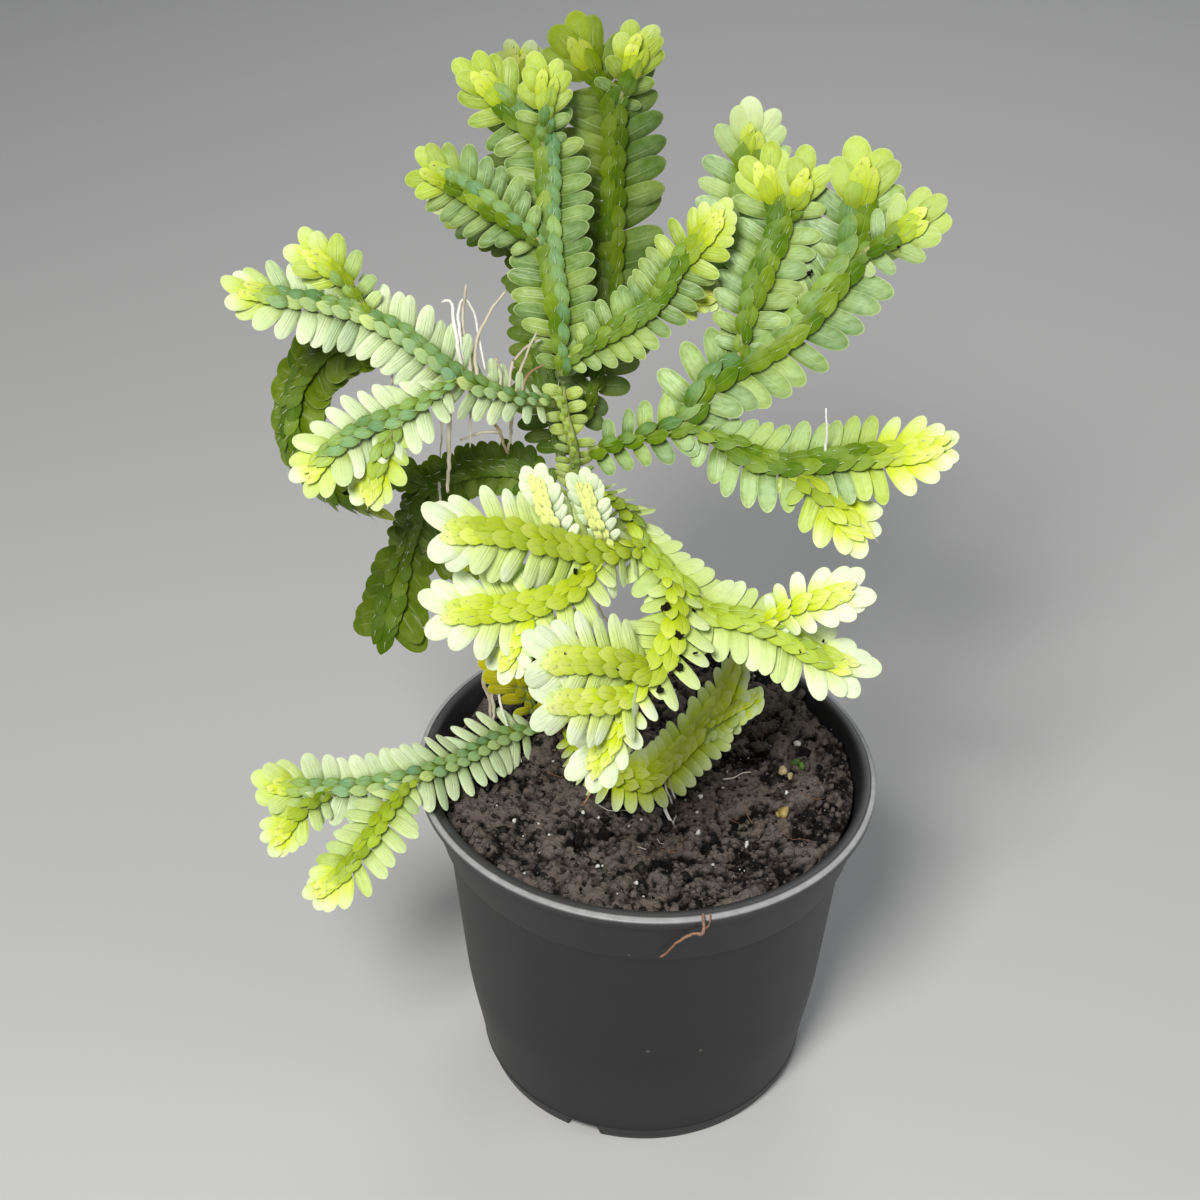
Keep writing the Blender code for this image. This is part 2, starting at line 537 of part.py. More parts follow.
def build_soil(home, cutters):
    """The soil plug: rings of points on its uneven top, then its side and its flat bottom."""
    top = POT_HEIGHT - SOIL_DROP
    inner = dict((round(z, 3), r) for r, z in pot_profile()[:5])
    heights = sorted(inner)
    edge = float(np.interp(top, [POT_HEIGHT - BAND_DEPTH, POT_HEIGHT],
                           [inner[heights[-1]], RIM_RADIUS - LIP_WIDTH])) - CLEARANCE - 0.1
    verts = [(0.0, 0.0, top + soil_height(0.0, 0.0))]
    turns = np.linspace(0, 2 * math.pi, SOIL_SIDES, endpoint=False)
    for i in range(1, SOIL_RINGS + 1):
        radius = edge * i / SOIL_RINGS
        fade = 1.0 if i < SOIL_RINGS else 0.3
        for turn in turns:
            x, y = radius * math.cos(turn), radius * math.sin(turn)
            verts.append((x, y, top + fade * soil_height(x, y)))
    side = [(inner[z] - CLEARANCE - 0.1, z + (CLEARANCE if i == 0 else 0.0)) for i, z in enumerate(heights)]
    for radius, z in reversed(side):
        for turn in turns:
            verts.append((radius * math.cos(turn), radius * math.sin(turn), z))
    faces = [(0, 1 + k, 1 + (k + 1) % SOIL_SIDES) for k in range(SOIL_SIDES)]
    for i in range(SOIL_RINGS + len(side) - 1):
        a, b = 1 + i * SOIL_SIDES, 1 + (i + 1) * SOIL_SIDES
        for k in range(SOIL_SIDES):
            m = (k + 1) % SOIL_SIDES
            faces += [(a + k, b + k, b + m), (a + k, b + m, a + m)]
    last = len(verts) - SOIL_SIDES
    faces.append(tuple(range(last, last + SOIL_SIDES)))
    soil = mesh_object("soil", verts, faces, home, material("soil", SOIL_BROWN, 0.95))
    stem_x, stem_y, _ = STEM[0].points[1]
    bpy.ops.mesh.primitive_cylinder_add(vertices=16, radius=STEM_HOLE_RADIUS * MM, depth=2 * STEM_HOLE_DEPTH * MM)
    hole = bpy.context.active_object
    hole.name = "stem_hole_cutter"
    hole.location = (stem_x * MM, stem_y * MM, top * MM)
    hole.hide_render = True
    hole.display_type = "WIRE"
    for old in hole.users_collection:
        old.objects.unlink(hole)
    cutters.objects.link(hole)
    cut = soil.modifiers.new("Stem hole", "BOOLEAN")
    cut.operation = "DIFFERENCE"
    cut.object = hole
    return soil


def main():
    clear_scene()
    home = collection("potted_spikemoss")
    cutters = collection("cutters", shown=False)
    spare = bpy.data.collections.new("loose_shoots")
    bpy.context.scene.collection.children.link(spare)
    build_pot(home, cutters)
    build_soil(home, cutters)
    for name, (shoots, roots, color) in PLANT.items():
        build_plant(name, shoots, roots, material(name, color, 0.45), home, spare)
    bpy.data.collections.remove(spare)


main()
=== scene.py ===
"""The looks of a spikemoss in its small round nursery pot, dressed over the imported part.

Shapes are worked out in millimetres as numpy arrays and become metres when a piece is made.
"""

import math

import bpy
import numpy as np
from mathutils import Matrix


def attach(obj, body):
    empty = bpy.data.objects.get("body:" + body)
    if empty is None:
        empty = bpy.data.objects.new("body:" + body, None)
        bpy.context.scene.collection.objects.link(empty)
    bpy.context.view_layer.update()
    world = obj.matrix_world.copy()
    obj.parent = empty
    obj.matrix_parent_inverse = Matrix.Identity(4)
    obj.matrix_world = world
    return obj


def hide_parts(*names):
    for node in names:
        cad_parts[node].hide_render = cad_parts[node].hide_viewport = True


MM = 0.001

# The pot and its soil, as the part has them.
RIM_RADIUS = 30.0
POT_HEIGHT = 48.5
LIP_WIDTH = 2.0
BAND_DEPTH = 9.0
BAND_LOW = RIM_RADIUS - LIP_WIDTH / 2 - 1.7
BODY_TOP = BAND_LOW - 0.9
WALL = 1.0
FLOOR = 1.2
OUT_OF_ROUND = 0.018
LONG_WAY = math.radians(-42)
DRAIN_BEARING = math.radians(248)
DRAIN_COUNT = 4
DRAIN_HALF_ANGLE = math.radians(5.6)
DRAIN_HEIGHT = 2.4
DRAIN_REACH = 3.0
DRAIN_BLEND = 0.011
SOIL_TOP = 45.3
SOIL_RELIEF = 0.9
STEM_FOOT = (-11.5, 10.0)

# Radius and height of the pot's inner wall from the floor up, and of its base's raised middle.
BAND_FOOT = POT_HEIGHT - BAND_DEPTH
INNER_WALL = [(20.9, FLOOR), (22.1, 7.0), (BODY_TOP - WALL, BAND_FOOT - 1.2), (BAND_LOW - WALL, BAND_FOOT),
              (RIM_RADIUS - LIP_WIDTH, POT_HEIGHT)]
BASE_MIDDLE = [(18.6, 0.0), (14.0, 0.3), (0.6, 0.3)]

# Between the soil and the pot's wall; and the soil's loose bits: how many and how far out.
WALL_GAP = 0.35
CRUMBS, CRUMB_REACH = 3400, 26.6
PALE_FLECKS, FLECK_REACH = 60, 26.0
FIBRES, FIBRE_REACH, FIBRE_LIMIT = 26, 25.5, 26.4
SOIL_SEED, SINK_SEED, DRESS_SEED = 5, 8, 20

# The chance lattice of the soil: cells each way, and where the middle of the pot lies in them.
CELLS, MIDDLE_CELL = 96, 40.0

# A leafy shoot: blade thicknesses, the pitch of its leaf pairs as a share of a leaf's length, the fan of
# leaves at its tip, and a scale leaf's shares of its size and its angles in degrees.
BLADE, SCALE_BLADE = 0.11, 0.07
PITCH_SHARE = 0.375
FAN_LENGTH = 6.0
FAN_ANGLE = 80.0
LEAF_ANGLE = 17.0
SCALE_LENGTH, SCALE_HALF_WIDTH, SCALE_BEND = 0.72, 0.205, 0.22
SCALE_TURN, SCALE_SLOPE = 18.0, 15.0
HAIR_RADIUS = 0.05
TOWARDS_VIEW = (0.0, -0.72, 0.69)

# The finishes of a dressed frond, and those of the soil's loose bits, in the order of their slots.
SIDE, SCALE, SKIN, HAIR, STRAW, BROWN, WHITE, STRAY = range(8)
PEAT, GRIT, TAN, MOSS, FLAKE, FIBRE, PALE_FIBRE = range(7)


class Shoot:
    """One leafy stem: its route, the way its upper face looks, the size of its leaves and their tones.

    Lengths are in millimetres and angles in degrees. bare is its foot without leaves, lift how far it
    rides over the shoot that it leaves, grow the length over which leaves reach their full size, stem
    its radius, pitch the step between leaf pairs and angle how far side leaves lean forward. spread
    widens the side leaves, scale enlarges the scale leaves and rough makes all of them less regular.
    Tones run from 0 to 1: fresh is lime, the sheen tone is a painted pale sheen that stands for the lamps'
    reflection, dark is painted shade and old is ochre. A sheen tone over 1 turns to cream, a painted glare.
    rows gives painted sheen to the left and the right row of scale leaves, seen along the stem, as if one
    row faced the lamps more than the other. bud is how lime the tip is, young how far back that reaches,
    and white how far the tip's own leaves turn to cream, by raising their painted sheen.
    """

    def __init__(self, points, face=TOWARDS_VIEW, end_face=None, leaf=4.8, bare=1.0, lift=0.0, fan=True,
                 grow=8.0, stem=0.62, fresh=0.08, silver=0.5, rows=(0.1, 0.1), dark=0.0, old=0.0,
                 pitch=None, bud=1.0, angle=LEAF_ANGLE, spread=1.12, scale=1.0, young=6.0, white=0.0,
                 rough=1.0):
        self.points, self.face, self.end_face = points, face, end_face or face
        self.leaf, self.bare, self.lift, self.fan, self.grow, self.stem = leaf, bare, lift, fan, grow, stem
        self.fresh, self.silver, self.rows, self.dark, self.old = fresh, silver, rows, dark, old
        self.pitch = pitch or PITCH_SHARE * leaf
        self.bud, self.angle, self.spread, self.scale = bud, angle, spread, scale
        self.young, self.white, self.rough = young, white, rough


STEM = [
    Shoot([(-11.5, 10, 39), (-11.5, 10, 44.5), (-10.5, 9, 60), (-10, 6, 78), (-9, 3, 92.5), (-10, 4, 97.5),
           (-10.5, 6, 101)],
          face=(-0.1, -0.9, 0.2), leaf=2.3, bare=8, stem=0.65, fan=False, pitch=1.5, silver=0.9, scale=0.8,
          dark=0.1, old=0.12, rows=(0.5, 0.6), fresh=0.3, bud=0, rough=4.6, spread=0.95),
]
CROWN = [
    Shoot([(-10.5, 6.4, 102.2), (-11, 10, 109), (-12, 14, 115), (-12.5, 20, 124.5), (-16, 22, 128.5),
           (-19.5, 23, 132)],
          face=(0.05, -0.86, 0.5), leaf=5.2, bare=0.3, rows=(0, 0.5), silver=0.36, bud=0.5, white=0.4),
    Shoot([(-12.5, 20, 124.5), (-12.6, 21, 128), (-12.5, 22, 132.5)],
          face=(0.2, -0.86, 0.5), lift=0.5, rows=(0.3, 0.5), bud=0.5, white=0.4),
    Shoot([(-12, 14, 115), (-17, 14.2, 119), (-21.5, 14.2, 122.5), (-25.5, 13.5, 125)],
          face=(-0.25, -0.8, 0.5), lift=0.6, rows=(0, 0.55), silver=0.55, bud=0.5, white=0.4),
    Shoot([(-10.6, 7, 103.5), (-4.5, 8.4, 107), (0, 9.6, 110), (3.5, 10.6, 115), (7.5, 11.4, 119.5)],
          face=(-0.1, -0.75, 0.6), leaf=4.4, fresh=0.14, rows=(0.2, 0.1), bud=0.7, young=9),
    Shoot([(0, 9.6, 110), (3.2, 11.2, 109.6), (6.6, 12.4, 109.2)],
          face=(0.1, -0.7, 0.7), leaf=3.8),
]
BACK = [
    Shoot([(-8.6, 5.6, 96.5), (-6.5, 12, 99), (-5, 20, 106.5), (-4.5, 24, 117), (-4.6, 25.4, 127.4),
           (-6.3, 26.2, 130.8), (-8.4, 26.6, 134.6)],
          face=(0.15, -0.95, 0.25), leaf=6.7, grow=12, silver=0.3, rows=(0, 0), dark=0.34, angle=22,
          scale=0.8, bud=0.45, white=0.2, spread=1.2),
    Shoot([(-4.6, 25.4, 127.4), (-3.2, 25.6, 130.8), (-2.2, 25.8, 135)],
          face=(0.3, -0.9, 0.25), leaf=5.6, lift=0.6, silver=0.35, bud=0.6, white=0.2),
]
FAR_BACK = [
    Shoot([(-10.6, 6.4, 90.4), (-12.6, 14, 97), (-13.5, 25, 108), (-15.5, 31, 119), (-15.5, 33, 131)],
          face=(-0.2, -0.8, 0.6), silver=0.2, dark=0.45),
    Shoot([(-13.5, 25, 108), (-19, 29.5, 112), (-25, 32, 114)],
          face=(-0.3, -0.5, 0.8), lift=0.6, silver=0.2, dark=0.4),
]
RIGHT = [
    Shoot([(-7.2, 2, 94.4), (-1.5, 0.4, 97.2), (3.5, 1, 99), (6, 3, 102), (10.5, 6, 104), (16.5, 8, 107.5),
           (20.5, 9.5, 111.5), (23, 11, 115), (23.6, 12.8, 119), (24.4, 14, 123.5)],
          face=(0, -0.75, 0.65), leaf=6.4, grow=24, silver=0.62, rows=(0.3, 0), pitch=2.45,
          angle=20, white=0.6, bud=0.42),
    Shoot([(23, 11, 115), (26.5, 10.6, 117), (30.5, 10.6, 120)],
          face=(0.15, -0.78, 0.6), leaf=5.4, lift=0.6, silver=0.95, white=0.6, bud=0.42),
    Shoot([(10.5, 6, 104), (11.2, 8.4, 108.5), (13, 11, 113.5), (14.6, 13, 117.5), (14.6, 14.4, 120),
           (13.4, 15.6, 123)],
          face=(-0.05, -0.85, 0.5), leaf=5.4, lift=0.5, silver=0.6, rows=(0.1, 0), white=0.5, bud=0.55),
    Shoot([(14.6, 13, 117.5), (16.2, 14, 119.8), (17.6, 14.6, 123.6)],
          face=(0.1, -0.85, 0.5), leaf=5.2, lift=0.6, silver=0.85, white=0.5, bud=0.5),
    Shoot([(11.2, 8.4, 108.5), (10.4, 16, 113), (11, 20.5, 119), (12, 22, 125.5)],
          face=(0, -0.9, 0.4), leaf=5.6, bare=4, silver=0.95, white=0.8, bud=0.3),
    Shoot([(3.5, 1, 99), (8, -1, 97.4), (14.5, -3.8, 96.2), (23, -5.8, 98.2), (31.4, -7, 99.8)],
          face=(0.1, -0.62, 0.78), leaf=5.4, fresh=0.14, silver=0.9, rows=(0.15, 0.1), young=13, white=0.1),
    Shoot([(15.5, -4, 96.3), (19.6, -7.4, 93.8), (23, -9, 90.6)],
          face=(0.15, -0.7, 0.7), leaf=5.4, lift=0.6, fresh=0.4, silver=0.6, young=8.5, white=0.1),
]
LEFT = [
    Shoot([(-11.6, 4.6, 99.6), (-15, 2, 101.5), (-18.5, 0.5, 103.5), (-22, -1, 106), (-28, -1, 111),
           (-32, -1, 113.5), (-36, -2, 115.5), (-41, -3, 117), (-44.6, -4, 118)],
          face=(-0.1, -0.68, 0.72), silver=1.35, rows=(1.15, 0.5), fresh=0.12, scale=0.85, grow=14,
          white=0.3, bud=0.7),
    Shoot([(-32, -1, 113.5), (-34.2, 0.2, 117), (-38, 0.6, 120.4)],
          face=(-0.1, -0.75, 0.65), lift=0.6, silver=1, rows=(0.6, 0), fresh=0.2, scale=0.85, bud=0.75,
          white=0.2),
    Shoot([(-22, -1, 106), (-25.5, -4, 105), (-28.5, -6, 104), (-32, -8, 103.5), (-35.5, -10, 102),
           (-38, -11, 99.5)],
          face=(-0.05, -0.72, 0.7), silver=1.4, rows=(0.8, 0.5), fresh=0.18, scale=0.85, white=0.2, bud=0.8),
    Shoot([(-28.5, -6, 104), (-30.4, -8.4, 101.2), (-32, -9.6, 97)],
          face=(0.1, -0.85, 0.5), leaf=4.6, lift=0.6, silver=0.9, rows=(0.5, 0.5), fresh=0.3),
    Shoot([(-28, -1, 111), (-34.5, 6, 107.5), (-39.5, 8.6, 103.5), (-42.6, 8.8, 98.5), (-43, 7, 92.6),
           (-39.6, 5, 87.8), (-34, 4, 85.6)],
          face=(-0.2, -0.3, 0.9), end_face=(-0.55, -0.72, -0.35), leaf=4.5, bare=4, silver=0.05, dark=0.3,
          bud=0.2, angle=14, spread=2.3, scale=1.15, fresh=0.12, fan=False),
]
DROOPING = [
    Shoot([(-11.4, 6.4, 86.2), (-16, 8.3, 88), (-22, 10, 87), (-27.5, 10, 84.5), (-29, 10, 80.5),
           (-30.2, 9.8, 76.5)],
          face=(-0.3, -0.65, 0.7), end_face=(-0.4, -0.8, 0.3), leaf=3.6, silver=0.1, dark=0.42, fresh=0.1,
          bud=0, angle=22, spread=1.4, scale=1.1, fan=False, grow=4),
    Shoot([(-29.8, 10, 78.6), (-31, 9.6, 74.4), (-32.6, 8.8, 69), (-33.8, 7.8, 64.8)],
          face=(-0.4, -0.8, 0.4), end_face=(-0.4, -0.8, 0.3), leaf=6.2, silver=0, dark=0.48, fresh=0.1,
          bud=0, angle=34, spread=1.8, grow=9, bare=0.3, fan=False, pitch=1.9),
    Shoot([(-27, 10, 84.8), (-30, 9.4, 86.6), (-34, 8.4, 87.4)],
          face=(-0.1, -0.7, 0.7), leaf=3.8, lift=0.6, silver=0, dark=0.55, bud=0.1, angle=30, spread=1.6),
    Shoot([(-30, 10, 76.5), (-27, 9.4, 74.4), (-22.5, 8.6, 74)],
          face=(0.2, -0.8, 0.5), leaf=3.8, lift=0.6, silver=0, dark=0.55, bud=0.1, angle=30, spread=1.6),
]
# The front fronds' high fresh and sheen tones are partly their young colour and partly a painted pool of
# light where the key lamp falls brightest.
FRONT = [
    Shoot([(-8.7, 1.7, 89), (-6, -2.6, 91.4), (-3, -8, 92), (-1, -12, 90), (2, -15, 88), (5.5, -17, 85),
           (12, -19, 84), (17, -20, 81.5), (21.4, -20, 79)],
          face=(0.25, -0.6, 0.75), leaf=5, grow=26, fresh=0.5, silver=1.2, spread=1.15, rows=(0.5, 0.4),
          white=1),
    Shoot([(12, -19, 84), (16, -19, 86.5), (21, -18, 87.5)],
          face=(0.1, -0.7, 0.7), leaf=4.4, lift=0.6, fresh=0.85, silver=1.2, white=1),
    Shoot([(-1, -12, 90), (-5.5, -17, 92.5), (-11.5, -21, 96.5), (-16.5, -23.2, 99.2),
           (-21.4, -25.2, 100.5)],
          face=(-0.1, -0.7, 0.7), leaf=5.4, fresh=0.62, silver=1.2, spread=1.15, rows=(0.3, 0.2), white=1,
          bud=0.8),
    Shoot([(-5.5, -17, 92.5), (-9, -22, 91), (-14, -25, 91), (-21.8, -28, 92)],
          face=(-0.1, -0.75, 0.65), leaf=5.3, lift=0.6, fresh=0.66, silver=1.2, white=1),
    Shoot([(-12, -24.2, 91.4), (-14, -26.4, 89), (-15.8, -27.4, 86)],
          face=(-0.2, -0.8, 0.55), leaf=4, lift=0.6, fresh=0.8, silver=1.2, white=0.6),
    Shoot([(-9, -19.4, 94.8), (-11.6, -18.4, 98.4), (-12.8, -17, 101.5)],
          face=(0.1, -0.95, 0.2), leaf=3.4, lift=0.5, fresh=0, silver=1.9, rows=(2.3, 2.3), bud=0.05,
          white=0.4),
    Shoot([(-4.6, -16, 92), (-6.6, -15.4, 96), (-7.8, -14.4, 99.5)],
          face=(0.1, -0.95, 0.2), leaf=3.4, lift=0.5, fresh=0, silver=1.9, rows=(2.3, 2.3), bud=0.05,
          white=0.4),
    Shoot([(2, -15, 88), (2.5, -20, 86.5), (1.5, -24, 85), (-0.5, -27, 84), (-5, -30, 87),
           (-11, -33, 89.5)],
          face=(0.2, -0.7, 0.7), end_face=(-0.05, -0.75, 0.65), leaf=5.4, fresh=0.66, silver=1.2, white=1,
          rows=(0.25, 0.25)),
    Shoot([(0.4, -26, 84), (-2.5, -29.4, 82.2), (-6.4, -32.4, 83.6), (-11, -35, 85.4)],
          face=(-0.05, -0.8, 0.6), leaf=5, lift=0.5, fresh=0.8, silver=1.2, rows=(0.5, 0.5), white=1),
    Shoot([(-2, -29, 82.4), (-4.2, -31, 79), (-6.4, -32, 75.6)],
          face=(0.05, -0.95, 0.3), leaf=4.6, lift=0.6, fresh=0.85, silver=1.2, white=1),
]
# The low front frond's high fresh and sheen tones are partly painted light, raised because it turns away from
# the lamps.
LOW_FRONT = [
    Shoot([(-10.6, 7.4, 47.4), (-7.2, 1, 48.6), (-3.6, -4.5, 49.8), (0.4, -6.2, 51), (4.6, -5.8, 55.4),
           (8, -5, 60), (10, -4.4, 63.4), (11.4, -4, 66.4)],
          face=(0.25, -0.7, 0.7), end_face=(-0.75, -0.4, 0.5), leaf=4.2, fresh=0.85, silver=0.4, spread=1.4,
          angle=14, scale=1.2, bud=0.8, young=9, rows=(0.3, 0.2)),
    Shoot([(5.8, -5.8, 56.8), (10, -6.2, 60.6), (13.4, -6.4, 63)],
          face=(-0.7, -0.35, 0.65), leaf=3, lift=0.4, fresh=0.8, silver=1.1, angle=42, spread=1.8),
]
CREEPING = [
    Shoot([(-13.4, 8, 47.8), (-19, 3.5, 49.6), (-24, -3, 51.2), (-29, -8, 52.8), (-35, -10.4, 53),
           (-41, -11.6, 53.6), (-46.2, -12.8, 54.8)],
          face=(0, -0.6, 0.8), bare=2, grow=6, silver=1.4, rows=(1.12, 0.7), fresh=0.15, pitch=2.1,
          scale=0.85, bud=0.75, white=0.2),
    Shoot([(-39, -11.2, 53.3), (-42.5, -14.2, 52.6), (-45.4, -15.8, 49.8)],
          face=(-0.1, -0.75, 0.65), leaf=4.4, lift=0.6, silver=1.2, fresh=0.3, scale=0.85),
    Shoot([(-29, -8, 52.8), (-32, -13, 51.8), (-34.4, -17, 50), (-37, -19.6, 47.6), (-39.6, -21, 45.6)],
          face=(-0.15, -0.7, 0.7), leaf=4.6, lift=0.6, silver=1.2, rows=(0.2, 0.1), fresh=0.4, scale=0.85),
]
OLD_LEAVES = [
    Shoot([(-14.2, 9.6, 47.6), (-15.6, 8.6, 52), (-17.2, 8, 56), (-19.6, 8, 59.6)],
          face=(0.1, -0.85, 0.5), leaf=4.3, silver=0.2, old=0.95, fresh=0.4, bud=0.2, pitch=2.5, angle=26,
          scale=0.8),
]
PLANT = {
    "main_stem": STEM, "frond_crown": CROWN, "frond_back": BACK, "frond_far_back": FAR_BACK,
    "frond_right": RIGHT, "frond_left": LEFT, "frond_drooping": DROOPING, "frond_front": FRONT,
    "frond_low_front": LOW_FRONT, "frond_creeping": CREEPING, "shoot_old_yellow": OLD_LEAVES,
}

# Thread-like roots on the frond that they leave: points, radius and finish.
THREADS = {
    "frond_left": [
        ([(-22.4, -1, 106.4), (-23.2, -2.2, 104), (-23.4, -2.6, 101), (-23.6, -2.5, 96), (-24, -2, 91.2)],
          0.36, STRAW),
        ([(-24.4, -2.5, 104.4), (-24.4, -2.5, 100), (-24.6, -2.5, 96.4)], 0.17, STRAW),
        ([(-29.8, -1, 110.6), (-29.7, -1.3, 107.6), (-29.8, -1.5, 105.2)], 0.2, STRAW),
        ([(-21, -0.6, 104.6), (-21, -1.2, 100.8), (-21.2, -1.5, 97.1)], 0.17, STRAW),
        ([(-20.8, -0.3, 105), (-21.2, 1.6, 108.6), (-21.8, 3, 111.3), (-21.2, 4.4, 115)], 0.27, STRAW),
        ([(-20, -0.1, 104.7), (-20.4, 2.4, 108), (-19.4, 3.6, 110.6), (-16.9, 6, 113.6)], 0.27, STRAW),
        ([(-21.8, -0.6, 105.6), (-22.2, 0.8, 109.4), (-22.6, 2.2, 112), (-23, 3, 113.8), (-23.9, 3, 113.6)],
          0.3, WHITE),
        ([(-21.5, -0.5, 105.4), (-22, 1.4, 109.8), (-22.2, 2.8, 112.2), (-21.6, 4, 113.6), (-20.6, 4, 112),
          (-20, 3.5, 109.2), (-19.4, 1.4, 105.6)], 0.22, WHITE),
        ([(-18.8, 0.4, 103.6), (-18.6, 0.5, 100), (-17.8, 1, 97.6), (-17, 3, 93.6)], 0.26, BROWN),
        ([(-17.8, 1, 97.7), (-19.6, 0.5, 98.1), (-21.3, 0.2, 97.6), (-22.6, 0, 97.2)], 0.22, STRAW),
        ([(-16, 1.6, 102), (-16.4, 2.4, 98), (-16.9, 3.5, 93.6)], 0.27, STRAW),
        ([(-17.6, 0.9, 103.2), (-17.5, 2.2, 105.2), (-17.9, 2, 107)], 0.2, STRAW),
        ([(-16.6, 1.4, 102.6), (-16.4, 4.6, 104.6), (-15, 7, 105.5), (-12.9, 8, 106.2)], 0.24, STRAW),
        ([(-15.9, 1.7, 101.9), (-15.5, 4, 103.2), (-14.8, 6, 105), (-13.6, 8, 107.2)], 0.22, STRAW),
        ([(-15.4, 2, 101.7), (-14.4, 4.3, 103.6), (-12.6, 5, 104.5)], 0.2, BROWN),
    ],
    "frond_right": [
        ([(19.9, -4.8, 97.4), (19.9, -4.9, 101), (19.6, -5, 104.2)], 0.2, WHITE),
    ],
    "frond_drooping": [
        ([(-26, 8.6, 86), (-25.6, 4.6, 87.2), (-25.1, 4, 85.2), (-24.1, 3.6, 83.6), (-22.4, 5, 82.6)], 0.2,
          WHITE),
    ],
    "frond_front": [
        ([(-7, -17.2, 93), (-6, -15.2, 84), (-5.2, -14.6, 81.4), (-3.6, -16, 80.4)], 0.2, STRAW),
    ],
    "shoot_old_yellow": [
        ([(-20.6, 9.2, 58.6), (-21.3, 8.5, 55.4), (-20.7, 8, 52), (-20.5, 8, 46)], 0.34, STRAW),
        ([(-20.4, 9.2, 58.4), (-20.4, 8, 54.1), (-20.2, 7, 50.7), (-21.2, 5.6, 45.9)], 0.28, STRAW),
        ([(-19.2, 9.4, 57), (-19.4, 7.6, 53), (-18.2, 5, 49.6), (-16.6, 3, 45.8)], 0.2, WHITE),
    ],
    "frond_low_front": [
        ([(1.2, -6.4, 52), (1.9, -7.6, 48.8), (2.4, -8.2, 46.8), (3.4, -8.6, 45.2)], 0.36, WHITE),
        ([(1.9, -6.3, 52.8), (2.5, -7.6, 50), (3.2, -8, 47.9)], 0.2, WHITE),
        ([(2.4, -6.2, 53.4), (3, -7.4, 50.8), (3.6, -8, 49)], 0.2, WHITE),
        ([(-5.4, -3, 49.8), (-6.6, -8, 51.2), (-8.2, -9.6, 49.2)], 0.22, BROWN),
    ],
}

# Crumbs of soil that lie on leaves: how far out the scale leaves reach, the crumbs' height over the stem
# there and beyond; then frond, shoot, distance along it, distance to its side and size.
SCALES_REACH, ON_SCALES, ON_SIDES = 1.6, 1.05, 0.35
SPECKS = [
    ("frond_front", 7, 8.8, -0.8, 0.52), ("frond_front", 7, 9.4, -3.2, 0.26),
    ("frond_front", 7, 11.3, -2.4, 0.48), ("frond_front", 8, 2.7, -2, 0.42),
    ("frond_front", 7, 5.4, 1.2, 0.5), ("frond_front", 3, 5.4, 1, 0.34),
    ("frond_front", 0, 40.9, -1.5, 0.22), ("frond_front", 0, 38.7, 0.8, 0.2),
    ("frond_front", 7, 19.4, -0.8, 0.16), ("frond_front", 7, 26, 0.5, 0.18),
    ("frond_front", 0, 26, 1, 0.28), ("frond_right", 4, 14.2, -3, 0.24), ("frond_right", 0, 36, -3, 0.3),
    ("frond_right", 1, 6, 1.2, 0.2),
]

# Where the white grit lies on the soil, and the odd bits: place, size and finish.
WHITE_GRIT = [(6.6, 3.7), (7.1, -4.1), (18.3, -4.1), (-6.5, -10.7), (-8.2, -7), (6.5, -11.1), (-6.3, -16.9),
              (8.1, -17.5), (12.6, -13), (-17, -9), (20.5, 6), (-1.5, -20.6), (14, 14), (-20, 15.5)]
ODD_BITS = [((18.3, 0.8), 0.8, TAN), ((19.2, 0.2), 0.5, TAN), ((20.0, 2.0), 0.75, MOSS),
            ((20.6, 1.0), 0.5, MOSS), ((17.6, -8.4), 0.72, FLAKE), ((16.9, -8.2), 0.4, FLAKE)]

# The dry rootlet over the lip, then its side hairs: points and radius.
LIP_ROOTLETS = [
    ([(6.4, -27.6, 47.2), (6.3, -28.8, 48.5), (6.4, -30.5, 48.3), (6.2, -30.4, 47), (5.5, -29.5, 46),
      (4.6, -28.9, 45), (3.2, -28.7, 43.6), (2.3, -28.5, 42.3), (1.3, -28.2, 40.9)], 0.24),
    ([(6.1, -30.2, 46.8), (5.2, -30, 46.6), (4.7, -29.6, 46.2)], 0.16),
    ([(7, -27.4, 47), (7.2, -28.9, 48.4), (7, -30.3, 48.2), (6.5, -30.3, 47.4)], 0.16),
]

# Studio lights: name, place, target, size, power and tint.
LIGHTS = [
    ("key", (-0.11, -0.30, 0.42), (0.0, 0.0, 0.08), 0.15, 2.3, (1.0, 0.99, 0.96)),
    ("fill", (0.5, -0.2, 0.3), (0.0, 0.0, 0.07), 0.35, 0.55, (0.93, 0.97, 1.0)),
    ("back", (0.1, 0.5, 0.45), (0.0, 0.0, 0.09), 0.35, 0.7, (1.0, 1.0, 1.0)),
]


def ramp(x, low, high):
    """0 below low, 1 above high and a smooth step (3t^2 - 2t^3) between them."""
    t = np.clip((np.asarray(x, float) - low) / (high - low), 0, 1)
    return t * t * (3 - 2 * t)


def unit(v):
    """Each row of v at length 1."""
    return v / np.linalg.norm(v, axis=-1, keepdims=True)


def turned(angle, first, second):
    """first turned towards second by each row's angle: cos * first + sin * second."""
    return np.cos(angle)[:, None] * first + np.sin(angle)[:, None] * second


